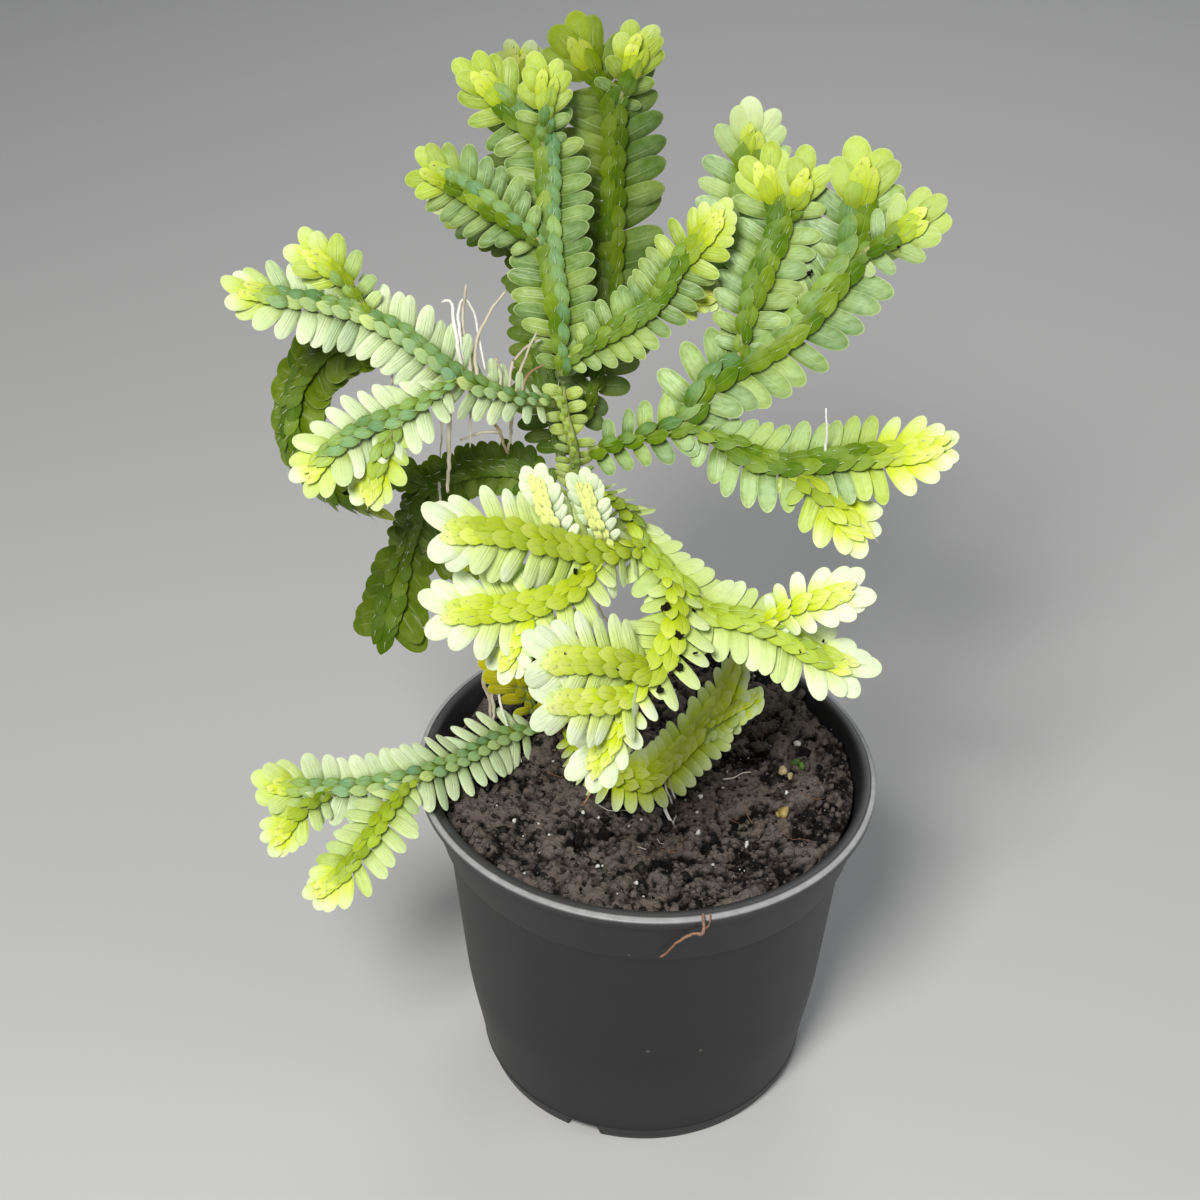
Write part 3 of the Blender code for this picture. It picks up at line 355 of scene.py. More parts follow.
def smooth_path(points, step=0.2):
    """A Catmull-Rom curve through the points, at even steps of its length."""
    p = np.array(points, float)
    p = np.vstack([2 * p[0] - p[1], p, 2 * p[-1] - p[-2]])
    t = np.linspace(0, 1, 24, endpoint=False)[None, :, None]
    a, b, c, d = (p[k:len(p) - 3 + k, None] for k in range(4))
    spans = 0.5 * (2 * b + (c - a) * t + (2 * a - 5 * b + 4 * c - d) * t**2 + (3 * b - a - 3 * c + d) * t**3)
    dense = np.vstack([spans.reshape(-1, 3), p[-2]])
    along = np.r_[0, np.cumsum(np.linalg.norm(np.diff(dense, axis=0), axis=1))]
    even = np.linspace(0, along[-1], max(9, int(along[-1] / step)))
    return np.stack([np.interp(even, along, dense[:, i]) for i in range(3)], axis=1), even


class Axis:
    """A shoot's centreline with its frame: along, side and up at any arc lengths, and on past its end."""

    def __init__(self, shoot):
        self.line, self.s = smooth_path(shoot.points)
        self.length = self.s[-1]
        self.along = unit(np.gradient(self.line, axis=0))
        share = (self.s / self.length)[:, None]
        face = np.array(shoot.face) * (1 - share) + np.array(shoot.end_face) * share
        self.up = unit(face - (face * self.along).sum(1, keepdims=True) * self.along)
        self.side = np.cross(self.along, self.up)
        self.line = self.line + self.up * (shoot.lift * ramp(self.s, 0.5, 3.5))[:, None]

    def frame(self, s):
        """Centre, along, side and up at each arc length in s, as four arrays of rows."""
        pick = [np.stack([np.interp(s, self.s, v[:, i]) for i in range(3)], axis=-1)
                for v in (self.line, self.along, self.side, self.up)]
        past = np.maximum(0.0, s - self.length)[:, None]
        return pick[0] + past * pick[1], pick[1], pick[2], pick[3]


class Bundle:
    """Meshes gathered into one piece: points, faces, face finish, and per point a leaf map and tones."""

    def __init__(self):
        self.points, self.quads, self.finish, self.map, self.tones, self.rim = [], [], [], [], [], []
        self.count = 0

    def add(self, points, quads, finish, leaf_map=None, tones=None, rim=None):
        """Points and quads in one finish. Edges between two rim points are kept sharp."""
        points = points.reshape(-1, 3)
        self.points.append(points)
        self.quads.append(quads.reshape(-1, 4) + self.count)
        self.finish.append(np.full(len(self.quads[-1]), finish))
        self.map.append(np.zeros((len(points), 2)) + (0.5 if leaf_map is None else leaf_map.reshape(-1, 2)))
        self.tones.append(np.zeros((len(points), 4)) + (0.0 if tones is None else tones.reshape(-1, 4)))
        self.rim.append(np.zeros(len(points), bool) if rim is None else rim)
        self.count += len(points)

    def piece(self, name, finishes):
        """A mesh object. A quad whose last two corners are the same point is a triangle."""
        quads = np.concatenate(self.quads)
        three = quads[:, 2] == quads[:, 3]
        size = np.where(three, 3, 4)
        keep = np.ones(quads.shape, bool)
        keep[three, 3] = False
        corners = quads[keep]
        mesh = bpy.data.meshes.new(name)
        mesh.vertices.add(self.count)
        mesh.vertices.foreach_set("co", (np.concatenate(self.points) * MM).ravel())
        mesh.loops.add(len(corners))
        mesh.loops.foreach_set("vertex_index", corners.astype(np.int32))
        mesh.polygons.add(len(quads))
        mesh.polygons.foreach_set("loop_start", (np.cumsum(size) - size).astype(np.int32))
        mesh.polygons.foreach_set("loop_total", size.astype(np.int32))
        mesh.polygons.foreach_set("material_index", np.concatenate(self.finish).astype(np.int32))
        mesh.polygons.foreach_set("use_smooth", np.ones(len(quads), bool))
        mesh.uv_layers.new(name="leaf_map").data.foreach_set("uv", np.concatenate(self.map)[corners].ravel())
        tones = mesh.attributes.new("tones", "FLOAT_COLOR", "POINT")
        tones.data.foreach_set("color", np.concatenate(self.tones).ravel())
        mesh.update(calc_edges=True)
        edges = np.empty(2 * len(mesh.edges), np.int32)
        mesh.edges.foreach_get("vertices", edges)
        sharp = mesh.attributes.new("sharp_edge", "BOOLEAN", "EDGE")
        sharp.data.foreach_set("value", np.concatenate(self.rim)[edges.reshape(-1, 2)].all(axis=1))
        mesh.validate()
        for finish in finishes:
            mesh.materials.append(finish)
        obj = bpy.data.objects.new(name, mesh)
        bpy.context.scene.collection.objects.link(obj)
        return obj


def blade_pattern(across, along, width):
    """A leaf's flat outline and its closed skin.

    The square grid (across x along, both from -1 to 1) is drawn to a disc by x*sqrt(1 - y^2/2) and
    y*sqrt(1 - x^2/2), and the disc's rows are then stretched to the half-width that width(y) gives.
    Returns x, y and disc radius per point, which side of the blade it is on, its quads and its map.
    """
    a, b = np.meshgrid(np.array(across), np.array(along))
    x, y = a * np.sqrt(1 - b * b / 2), b * np.sqrt(1 - a * a / 2)
    radius = np.sqrt(x * x + y * y)
    row = np.sqrt(np.maximum(1 - y * y, 1e-9))
    x = np.where(row > 1e-3, x / row, 0.0) * width(y)
    rows, cols = a.shape
    upper = np.arange(rows * cols).reshape(rows, cols)
    rim = np.zeros((rows, cols), bool)
    rim[0], rim[-1], rim[:, 0], rim[:, -1] = True, True, True, True
    lower = upper.copy()
    lower[~rim] = rows * cols + np.arange((~rim).sum())
    quads = [np.stack([g[:-1, :-1], g[:-1, 1:], g[1:, 1:], g[1:, :-1]], -1).reshape(-1, 4)
             for g in (upper, lower)]
    quads[1] = quads[1][:, ::-1]
    pick = np.r_[np.arange(rows * cols), upper[~rim]]
    side = np.r_[np.where(rim.ravel(), 0, 1), -np.ones((~rim).sum())]
    flat = [v.ravel()[pick] for v in (x, y, radius, a * np.sqrt(1 - b * b / 2))]
    leaf_map = np.stack([flat[3], flat[1]], -1) * 0.5 + 0.5
    return flat[0], flat[1], flat[2], side, np.concatenate(quads), leaf_map


def oblong(y):
    """Half-width of a side leaf: nearly even, blunt at the root and round at the tip."""
    return np.where(y < 0, (1 - np.abs(y)**4.5)**0.5 * (1 - 0.12 * y * y), (1 - np.abs(y)**2.4)**0.5)


def ovate(y):
    """Half-width of a scale leaf: broad over its middle, rounding in to a short point."""
    return np.maximum(1 - np.maximum(y, 0)**1.8, 0)**0.95 * np.maximum(1 + y, 0)**0.35 * 0.92


SIDE_LEAF = blade_pattern((-1, -0.84, -0.42, 0, 0.42, 0.84, 1), (-1, -0.62, -0.15, 0.3, 0.66, 0.88, 1),
                          oblong)
SCALE_LEAF = blade_pattern((-1, -0.8, 0, 0.8, 1), (-1, -0.72, -0.1, 0.5, 0.84, 1), ovate)


def blades(bundle, pattern, finish, root, ahead, normal, length, width, droop, cup, tones, bend=0.0,
           thick=BLADE):
    """Many leaves at once.

    A point of leaf n is root + ahead * length * t + across * width * x + normal * height, where t runs
    from 0 at the root to 1 at the tip and height is -droop * length * t^2 - cup * width * x^2, plus or
    minus the blade's thickness, which falls off to nothing at its rim as 1 - radius^4. The blade curves
    sideways by bend * length * t^2.
    """
    x, y, radius, side, quads, leaf_map = pattern
    across = unit(np.cross(ahead, normal))
    normal = np.cross(across, ahead)
    t = (y + 1) / 2
    height = -droop[:, None] * length[:, None] * t**2 - cup[:, None] * width[:, None] * x**2
    height = height + 0.5 * thick * side * (1 - radius**4)
    points = (root[:, None] + ahead[:, None] * (length[:, None] * t)[..., None]
              + across[:, None] * (width[:, None] * x + bend * length[:, None] * t**2)[..., None]
              + normal[:, None] * height[..., None])
    number = len(root)
    offsets = (np.arange(number) * len(x))[:, None, None]
    bundle.add(points, quads[None] + offsets, finish, np.tile(leaf_map, (number, 1)),
               np.repeat(tones, len(x), axis=0), np.tile(side == 0, number))


def ring_walls(rows, cols):
    """Quads between neighbouring rings, the index of each ring's points and that of the points after them."""
    index = np.arange(rows * cols).reshape(rows, cols)
    after = np.roll(index, -1, axis=1)
    return np.stack([index[:-1], index[1:], after[1:], after[:-1]], -1).reshape(-1, 4), index, after


def closed_turn(rings):
    """Points and quads of a closed surface: rings in order, with a pole amid the first and the last."""
    rows, cols = rings.shape[:2]
    wall, index, after = ring_walls(rows, cols)
    pole = np.full(cols, rows * cols)
    top = np.stack([index[0], after[0], pole, pole], -1)
    end = np.stack([after[-1], index[-1], pole + 1, pole + 1], -1)
    points = np.vstack([rings.reshape(-1, 3), rings[0].mean(0), rings[-1].mean(0)])
    return points, np.concatenate([wall, top, end])


def tube(bundle, line, radius, finish, sides=8, flat=1.0, up=(0.31, 0.87, 0.38), tones=None):
    """A closed tube: at each point of the line a ring radius * (cos, flat * sin) across it."""
    heading = unit(np.gradient(line, axis=0))
    side = unit(np.cross(heading, np.broadcast_to(up, heading.shape)))
    other = np.cross(side, heading)
    turn = np.linspace(0, 2 * math.pi, sides, endpoint=False)
    radius = np.broadcast_to(radius, len(line))[:, None, None]
    ring = line[:, None] + radius * (np.cos(turn)[None, :, None] * side[:, None]
                                     + flat * np.sin(turn)[None, :, None] * other[:, None])
    points, quads = closed_turn(ring)
    bundle.add(points, quads, finish, None, None if tones is None else np.tile(tones, (len(points), 1)))


def bristles(bundle, root, ahead, up, length, finish, rng):
    """The hair at the end of each scale leaf: a three-sided spike that curls as
    ahead * t + up * t^2 and thins to a point."""
    number, steps = len(root), 4
    t = np.linspace(0, 1, steps)
    sway = rng.normal(0, 0.35, (number, 1, 1)) * np.cross(ahead, up)[:, None]
    curl = rng.uniform(0.1, 0.9, (number, 1, 1))
    line = (root[:, None] + length[:, None, None]
            * (ahead[:, None] * t[None, :, None] + (curl * up[:, None] + sway) * (t**2)[None, :, None]))
    radius = HAIR_RADIUS * (1 - 0.8 * t)
    turn = np.linspace(0, 2 * math.pi, 3, endpoint=False)
    across = unit(np.cross(ahead, up))[:, None, None]
    lift = up[:, None, None]
    wheel = np.cos(turn)[:, None] * across + np.sin(turn)[:, None] * lift
    ring = line[:, :, None] + radius[:, None, None] * wheel
    ends = np.array([[0, 1, 2, 2], [steps * 3 - 3, steps * 3 - 1, steps * 3 - 2, steps * 3 - 2]])
    quads = np.concatenate([ring_walls(steps, 3)[0], ends])
    offsets = (np.arange(number) * steps * 3)[:, None, None]
    bundle.add(ring, quads[None] + offsets, finish)


def nearness(shoot, s, length):
    """How far into the fan at the shoot's tip: 0 before it or without one, rising evenly to 1 at the end."""
    return np.clip((s - length + FAN_LENGTH) / FAN_LENGTH, 0, 1) * shoot.fan


def leaf_places(shoot, length, rng):
    """Arc lengths of a shoot's leaf pairs. They draw together towards its tip."""
    found, s = [], shoot.bare + rng.uniform(0, 0.5)
    while s < length - 0.3:
        found.append(s)
        s += shoot.pitch * (1 - 0.62 * float(nearness(shoot, s, length)))
    return np.array(found)


def tone_rows(shoot, fresh, silver, rng):
    """Fresh, painted sheen, painted shade (dark) and old tones of each leaf, with a little chance in each."""
    number = len(fresh)
    old = shoot.old * rng.uniform(0.8, 1.1, number)
    chance = rng.normal(0, 0.06, number)
    dark = shoot.dark + rng.uniform(0, 0.12, number)
    return np.stack([fresh + chance, silver + chance, dark, old], -1)


def side_leaves(bundle, shoot, axis, sign, rng):
    """One row of side leaves, half a step out of line with the other row.

    A leaf points sideways and forward by the shoot's angle, up to FAN_ANGLE in the fan, and leans and
    rolls a little by chance. It grows from half its length at the shoot's foot.
    """
    length, white = axis.length, shoot.white
    s = leaf_places(shoot, length, rng) + (0.5 * shoot.pitch if sign < 0 else 0.0)
    s = s[s < length]
    near, grown = nearness(shoot, s, length), ramp(s, 0, shoot.grow)
    reach = shoot.leaf * (0.5 + 0.5 * grown) * (1 - 0.30 * (1 - white) * near**2)
    reach = reach * rng.normal(1, 0.035, len(s))
    wild = shoot.rough * (1 + 1.2 * (1 - grown))
    turn = shoot.angle + (FAN_ANGLE - shoot.angle) * near**1.3
    turn = np.radians(turn + wild * rng.normal(0, 3.2, len(s)))
    centre, along, side, up = axis.frame(s)
    outward = sign * side
    tilt = np.radians(-6 + 18 * near + wild * rng.normal(0, 4.0, len(s)))
    ahead = turned(tilt, turned(turn, outward, along), up)
    roll = np.radians(12 + rng.normal(0, 5, len(s)))
    normal = turned(roll, up, turned(turn, -along, outward) * (1 - 0.5 * near[:, None]))
    root = centre + 0.25 * outward + (0.45 * near - 0.15)[:, None] * up
    width = 0.5 * shoot.pitch * shoot.spread * (1 + (0.2 * white + 0.12) * near) * (0.75 + 0.25 * grown)
    fresh = shoot.fresh + shoot.bud * (1 - shoot.fresh) * ramp(s, length - shoot.young, length - 0.5)
    # The sheen tone is painted sheen; the fan loses it unless its leaves turn white.
    silver = shoot.silver * (1 - 0.55 * near * (1 - white)) + 0.55 * white * near
    tones = tone_rows(shoot, fresh, silver, rng)
    blades(bundle, SIDE_LEAF, SIDE, root, ahead, normal, reach, width * rng.normal(1, 0.05, len(s)),
           0.05 + rng.normal(0, 0.03, len(s)), 0.05 + rng.uniform(0, 0.14, len(s)), tones)


def scale_leaves(bundle, shoot, axis, sign, silver, rng):
    """One row of scale leaves, which lie along the stem like roof tiles, each with a hair at its end.

    A leaf points forward, turned outwards by SCALE_TURN, and its face slopes outwards by SCALE_SLOPE.
    """
    length, white = axis.length, shoot.white
    s = leaf_places(shoot, length, rng) + (0.5 * shoot.pitch if sign < 0 else 0.0) - 0.5 * shoot.pitch
    near, grown = nearness(shoot, s, length), ramp(s, 0, shoot.grow)
    size = shoot.leaf * shoot.scale * (0.62 + 0.38 * grown) * (1 - 0.25 * near**2)
    centre, along, side, up = axis.frame(s)
    outward = sign * side
    wild = shoot.rough * (1 + 1.6 * (1 - grown))
    turn = np.radians(SCALE_TURN + wild * rng.normal(0, 3, len(s)))
    rise = np.radians(5 + 5 * near + wild * rng.normal(0, 1.5, len(s)).clip(-1.5, 3))
    ahead = turned(rise, turned(turn, along, outward), up)
    normal = turned(np.full(len(s), math.radians(SCALE_SLOPE)), up, outward)
    clear = 0.35 + 0.35 * shoot.stem + 0.4 * near
    root = centre + (0.07 * size)[:, None] * outward + clear[:, None] * up
    fresh = ramp(s, length - 0.85 * shoot.young, length - 1)
    fresh = shoot.fresh + shoot.bud**0.3 * (1 - shoot.fresh) * fresh
    # This row's painted sheen, raised towards a white tip.
    silver = silver * (1 - 0.6 * near * (1 - white)) + 1.4 * white * near**2
    tones = tone_rows(shoot, fresh, silver, rng)
    bend = -SCALE_BEND * sign
    blades(bundle, SCALE_LEAF, SCALE, root, ahead, normal, SCALE_LENGTH * size, SCALE_HALF_WIDTH * size,
           0.05 + rng.normal(0, 0.02, len(s)), np.full(len(s), 0.05), tones, bend, SCALE_BLADE)
    inward = np.cross(ahead, normal)
    tip = root + ahead * (0.70 * size)[:, None] + inward * (bend * 0.68 * size)[:, None]
    heading = unit(ahead + 2 * bend * inward)
    bristles(bundle, tip, heading, up, (0.4 + 0.6 * grown) * rng.uniform(0.35, 0.9, len(s)), HAIR, rng)


def dress_shoot(bundle, shoot, rng):
    """One shoot: its stem, two rows of side leaves, and two rows of scale leaves over the stem."""
    axis = Axis(shoot)
    length = axis.length
    inner = np.linspace(0, length, max(6, int(length / 1.1)))
    centre, _, _, up = axis.frame(inner)
    slim = shoot.stem * (1 - 0.45 * ramp(inner, length - FAN_LENGTH, length))
    tube(bundle, centre, slim, SKIN, sides=8, flat=0.85, up=up,
         tones=np.array([shoot.fresh, 0.3, shoot.dark, shoot.old]))
    for sign in (1, -1):
        side_leaves(bundle, shoot, axis, sign, rng)
    # Each row of scale leaves gets its own painted sheen from rows, as if one row faced the lamps.
    for sign, silver in zip((-1, 1), shoot.rows):
        scale_leaves(bundle, shoot, axis, sign, silver, rng)


def specks(bundle, node, finish, rng):
    """Crumbs on a frond's leaves: at its shoot's frame, centre + aside * side + rest * up, where rest is
    higher over the scale leaves than over the side leaves beyond them."""
    for index, along, aside, size in (speck[1:] for speck in SPECKS if speck[0] == node):
        centre, ahead, side, up = Axis(PLANT[node][index]).frame(np.array([along]))
        rest = ON_SCALES if abs(aside) < SCALES_REACH else ON_SIDES
        for k in range(3):
            shift = rng.normal(0, 0.45 * size, (2, 1))
            lumps(bundle, centre + (aside + shift[0]) * side + shift[1] * ahead + rest * up,
                  np.array([size * (0.9 - 0.25 * k)]), finish, rng)


def thread(bundle, points, radius, finish, rng):
    """A thread-like root along a smooth path, with a thinner free end and a slow wander, each step of
    which is a third of the sum of five neighbouring chance steps."""
    line, along = smooth_path(points, 0.45)
    wander = rng.normal(0, 0.10, (len(line), 3))
    wander = np.stack([np.convolve(wander[:, i], np.ones(5) / 3, "same") for i in range(3)], -1)
    wander *= ramp(along, 0, 2)[:, None]
    tube(bundle, line + wander, radius * (1 - 0.45 * along / along[-1]), finish, sides=7)


def lattice(x, y, cell, rng):
    """Smooth noise from 0 to 1: chance values on a square lattice of this cell size, blended between its
    corners by smooth steps (3t^2 - 2t^3)."""
    table = rng.random((CELLS, CELLS))
    u, v = x / cell + MIDDLE_CELL, y / cell + MIDDLE_CELL
    i, j = np.floor(u).astype(int), np.floor(v).astype(int)
    fu, fv = u - i, v - j
    fu, fv = fu * fu * (3 - 2 * fu), fv * fv * (3 - 2 * fv)
    i, j = i % (CELLS - 1), j % (CELLS - 1)
    low = table[i, j] * (1 - fu) + table[i + 1, j] * fu
    high = table[i, j + 1] * (1 - fu) + table[i + 1, j + 1] * fu
    return low * (1 - fv) + high * fv


def crumbs_height(x, y, cell, rng):
    """Rounded crumbs: the highest of the domes size * sqrt(1 - (gap / 0.85)^2) that stand on a jittered
    lattice of seeds, where gap is how far off the seed is."""
    jitter = rng.random((CELLS, CELLS, 2))
    size = rng.uniform(0.35, 1.0, (CELLS, CELLS))
    u, v = x / cell + MIDDLE_CELL, y / cell + MIDDLE_CELL
    best = np.zeros_like(x)
    for di in (-1, 0, 1):
        for dj in (-1, 0, 1):
            i, j = np.floor(u).astype(int) + di, np.floor(v).astype(int) + dj
            seed = jitter[i % CELLS, j % CELLS]
            gap = np.hypot(u - i - seed[..., 0], v - j - seed[..., 1])
            dome = size[i % CELLS, j % CELLS] * np.sqrt(np.maximum(0, 1 - (gap / 0.85)**2))
            best = np.maximum(best, dome)
    return best


def soil_height(x, y):
    """The soil's top in millimetres over its mean, and how far up its own crumbs a point is, from 0 to 1.

    The part's mound and hollow come first, then lumps, crumbs and grit. It rises a little to the wall.
    """
    rng = np.random.default_rng(SOIL_SEED)
    stem = np.exp(-((x - STEM_FOOT[0])**2 + (y - STEM_FOOT[1])**2) / 60.0)
    waves = np.sin(0.55 * x + 0.3 * y + 1.0) * np.cos(0.45 * y - 0.2 * x)
    hollow = (np.exp(-((x - 4.0)**2 + (y - 2.0)**2) / 40.0)
              + 1.1 * np.exp(-((x - 9.0)**2 + (y + 10.0)**2) / 9.0))
    broad = SOIL_RELIEF * (1.1 * stem + 0.55 * waves - 1.1 * hollow)
    wall = (0.7 + 1.0 * ramp(x, -4, 22)) * ramp(np.hypot(x, y), 16, 26.5)
    mounds = 1.5 * (lattice(x, y, 4.2, rng) - 0.5)
    rough = (crumbs_height(x, y, 2.3, rng) - 0.45) * (0.25 + 1.1 * lattice(x, y, 6.0, rng))
    grit = 0.75 * (crumbs_height(x, y, 1.15, rng) - 0.5) + 0.5 * (crumbs_height(x, y, 0.62, rng) - 0.5)
    return broad + wall + mounds + 1.2 * rough + grit, ramp(0.35 * mounds + 1.2 * rough + grit, -0.75, 0.75)


def rounded(profile, radius, steps=4):
    """The profile with each inner corner cut by an arc: a quadratic curve from radius before the corner
    to radius after it, or to half of a shorter side."""
    p = np.array(profile, float)
    out = [p[:1]]
    for a, b, c, r in zip(p, p[1:], p[2:], radius):
        before = b + unit(a - b) * min(r, 0.48 * np.linalg.norm(a - b))
        after = b + unit(c - b) * min(r, 0.48 * np.linalg.norm(c - b))
        t = np.linspace(0, 1, steps)[:, None]
        out.append((1 - t)**2 * before + 2 * t * (1 - t) * b + t * t * after)
    return np.vstack(out + [p[-1:]])


def inner_radius(z):
    """The pot's inner wall at a height."""
    radii, heights = zip(*INNER_WALL)
    return float(np.interp(z, heights, radii))


def ring_points(r, z, turn):
    """Points at radius r, height z and this turn about Z. The pot's mouth is a little longer one way than
    the other: r grows by OUT_OF_ROUND * cos(2 * turn from the long way), less so lower down."""
    r = r * (1 + OUT_OF_ROUND * ramp(z, 14, 40) * np.cos(2 * (turn - LONG_WAY)))
    return np.stack(np.broadcast_arrays(r * np.cos(turn), r * np.sin(turn), z), -1)


def pot_piece(finish):
    """The pot: a section carried round Z. At each drain the wall's foot is raised to the notch's roof and
    the base drawn in behind it, with steep sides where the two sections meet. Its tones mark the scuffed
    lip and a painted highlight along the lip's outer edge."""
    inside = [(0.6, FLOOR)] + INNER_WALL + [(RIM_RADIUS - 0.75, POT_HEIGHT)]
    outside = [(RIM_RADIUS - 0.70, POT_HEIGHT - 0.16), (RIM_RADIUS, POT_HEIGHT - 0.25),
               (RIM_RADIUS - 0.1, POT_HEIGHT - 1.5), (RIM_RADIUS - LIP_WIDTH / 2, POT_HEIGHT - 2.0),
               (BAND_LOW, BAND_FOOT), (BODY_TOP, BAND_FOOT - 0.7), (24.4, 14.0), (23.2, 7.0), (22.56, 2.75),
               (22.66, 2.6), (22.45, 2.1)]
    cuts = [0.4, 2.0, 1.0, 1.0, 0.5, 0.2, 0.1, 0.3, 0.3, 0.6, 0.35, 0.5, 4.0, 3.0, 0.1, 0.06, 0.1]
    upper = rounded(inside + outside, cuts)
    plain = np.array([(22.2, 1.2), (21.9, 0.25), (21.6, 0.0), (18.9, 0.0)] + BASE_MIDDLE)
    cut_in = np.array([(22.5, DRAIN_HEIGHT - 0.1), (21.9, DRAIN_HEIGHT), (22.0 - DRAIN_REACH, DRAIN_HEIGHT),
                       (21.8 - DRAIN_REACH, DRAIN_HEIGHT - 0.4)] + BASE_MIDDLE)
    apart = 2 * math.pi / DRAIN_COUNT
    turn = np.linspace(0, 2 * math.pi, 288, endpoint=False)
    close = np.array((-0.012, -0.006, 0.0, 0.006, 0.012))
    for i in range(DRAIN_COUNT):
        for edge in (-DRAIN_HALF_ANGLE, DRAIN_HALF_ANGLE):
            turn = np.r_[turn, DRAIN_BEARING + i * apart + edge + close]
    turn = np.unique(np.round(turn % (2 * math.pi), 5))
    gap = (turn - DRAIN_BEARING + apart / 2) % apart - apart / 2
    share = 1 - ramp(np.abs(gap), DRAIN_HALF_ANGLE - DRAIN_BLEND, DRAIN_HALF_ANGLE + DRAIN_BLEND)
    lower = plain[:, None] * (1 - share[None, :, None]) + cut_in[:, None] * share[None, :, None]
    section = np.concatenate([np.repeat(upper[:, None], len(turn), 1), lower])
    points, quads = closed_turn(ring_points(section[..., 0], section[..., 1], turn[None]))
    scuff_and_highlight = np.zeros((len(points), 4))
    r, z = section[..., 0].ravel(), section[..., 1].ravel()
    scuff_and_highlight[:len(r), 0] = ramp(r, 28.7, 29.1) * ramp(z, 47.2, 47.7)
    # The second tone is a painted highlight along the lip's outer edge.
    scuff_and_highlight[:len(r), 1] = ramp(r, 29.2, 29.4) * ramp(z, 48.05, 48.2)
    pot = Bundle()
    pot.add(points, quads, 0, None, scuff_and_highlight)
    return pot.piece("nursery_pot", [finish])


def soil_piece(finish):
    """The soil: rings from the middle of its uneven top out to the wall, then down the wall and back
    under. Near the wall the crumbs sink, so that a dark gap shows beside it."""
    turn = np.linspace(0, 2 * math.pi, 440, endpoint=False)
    edge = inner_radius(SOIL_TOP) - WALL_GAP
    r = edge * np.linspace(0.004, 1, 132)[:, None]**0.86
    x, y = r * np.cos(turn), r * np.sin(turn)
    sink = 1.6 * ramp(r, edge - 1.1, edge) * lattice(x, y, 6.0, np.random.default_rng(SINK_SEED))
    height, up = soil_height(x, y)
    hole = np.hypot(x - STEM_FOOT[0], y - STEM_FOOT[1])
    z = SOIL_TOP + height - sink - 3.0 * (1 - ramp(hole, 0.8, 1.7))
    top = ring_points(r, z, turn[None])
    foot = FLOOR + 0.3
    low = [(inner_radius(h) - WALL_GAP, h) for h in (44.0, 41.0, 38.0, 7.0, foot)]
    low_r, low_z = np.array(low + [(12.0, foot), (0.5, foot)]).T[..., None]
    below = ring_points(low_r, low_z, turn[None])
    points, quads = closed_turn(np.concatenate([top, below]))
    tones = np.zeros((len(points), 4))
    tones[:up.size, 0] = up.ravel()
    soil = Bundle()
    soil.add(points, quads, 0, None, tones)
    return soil.piece("potting_soil", [finish])


def lump_pattern():
    """A ball of 26 points: the middles of a cube's faces, edges and corners, pushed out to one distance."""
    steps = (-1, 0, 1)
    g = np.array([(i, j, k) for i in steps for j in steps for k in steps if (i, j, k) != (0, 0, 0)])
    where = {tuple(p): n for n, p in enumerate(g)}
    quads = []
    for axis in range(3):
        for sign in (-1, 1):
            for i in (-1, 0):
                for j in (-1, 0):
                    ring = []
                    for a, b in ((i, j), (i + 1, j), (i + 1, j + 1), (i, j + 1)):
                        p = [0, 0, 0]
                        p[axis], p[(axis + 1) % 3], p[(axis + 2) % 3] = sign, a, b
                        ring.append(where[tuple(p)])
                    quads.append(ring if sign > 0 else ring[::-1])
    return unit(g.astype(float)), np.array(quads)


def lumps(bundle, centre, size, finish, rng, rough=0.28, tones=None):
    """Many uneven grains: a ball whose points are moved in or out by chance, turned by chance and
    stretched by three chance factors."""
    ball, quads = lump_pattern()
    number = len(centre)
    shape = ball[None] * (1 + rng.normal(0, rough, (number, len(ball), 1)).clip(-0.45, 0.45))
    shape = shape * rng.uniform(0.65, 1.25, (number, 1, 3))
    turn = np.linalg.qr(rng.normal(size=(number, 3, 3)))[0]
    turn = turn * np.sign(np.linalg.det(turn))[:, None, None]
    points = centre[:, None] + size[:, None, None] * np.einsum("nij,nkj->nki", turn, shape)
    offsets = (np.arange(number) * len(ball))[:, None, None]
    bundle.add(points, quads[None] + offsets, finish, None,
               None if tones is None else np.repeat(tones, len(ball), axis=0))


def scatter(number, reach, rng):
    """Chance places on the soil, evenly over its area out to this radius: reach * sqrt(chance)."""
    r, turn = reach * np.sqrt(rng.random(number)), rng.uniform(0, 2 * math.pi, number)
    return r * np.cos(turn), r * np.sin(turn)


def on_soil(x, y, lift):
    """Points this far over the soil's top."""
    return np.stack([x, y, SOIL_TOP + soil_height(x, y)[0] + lift], -1)


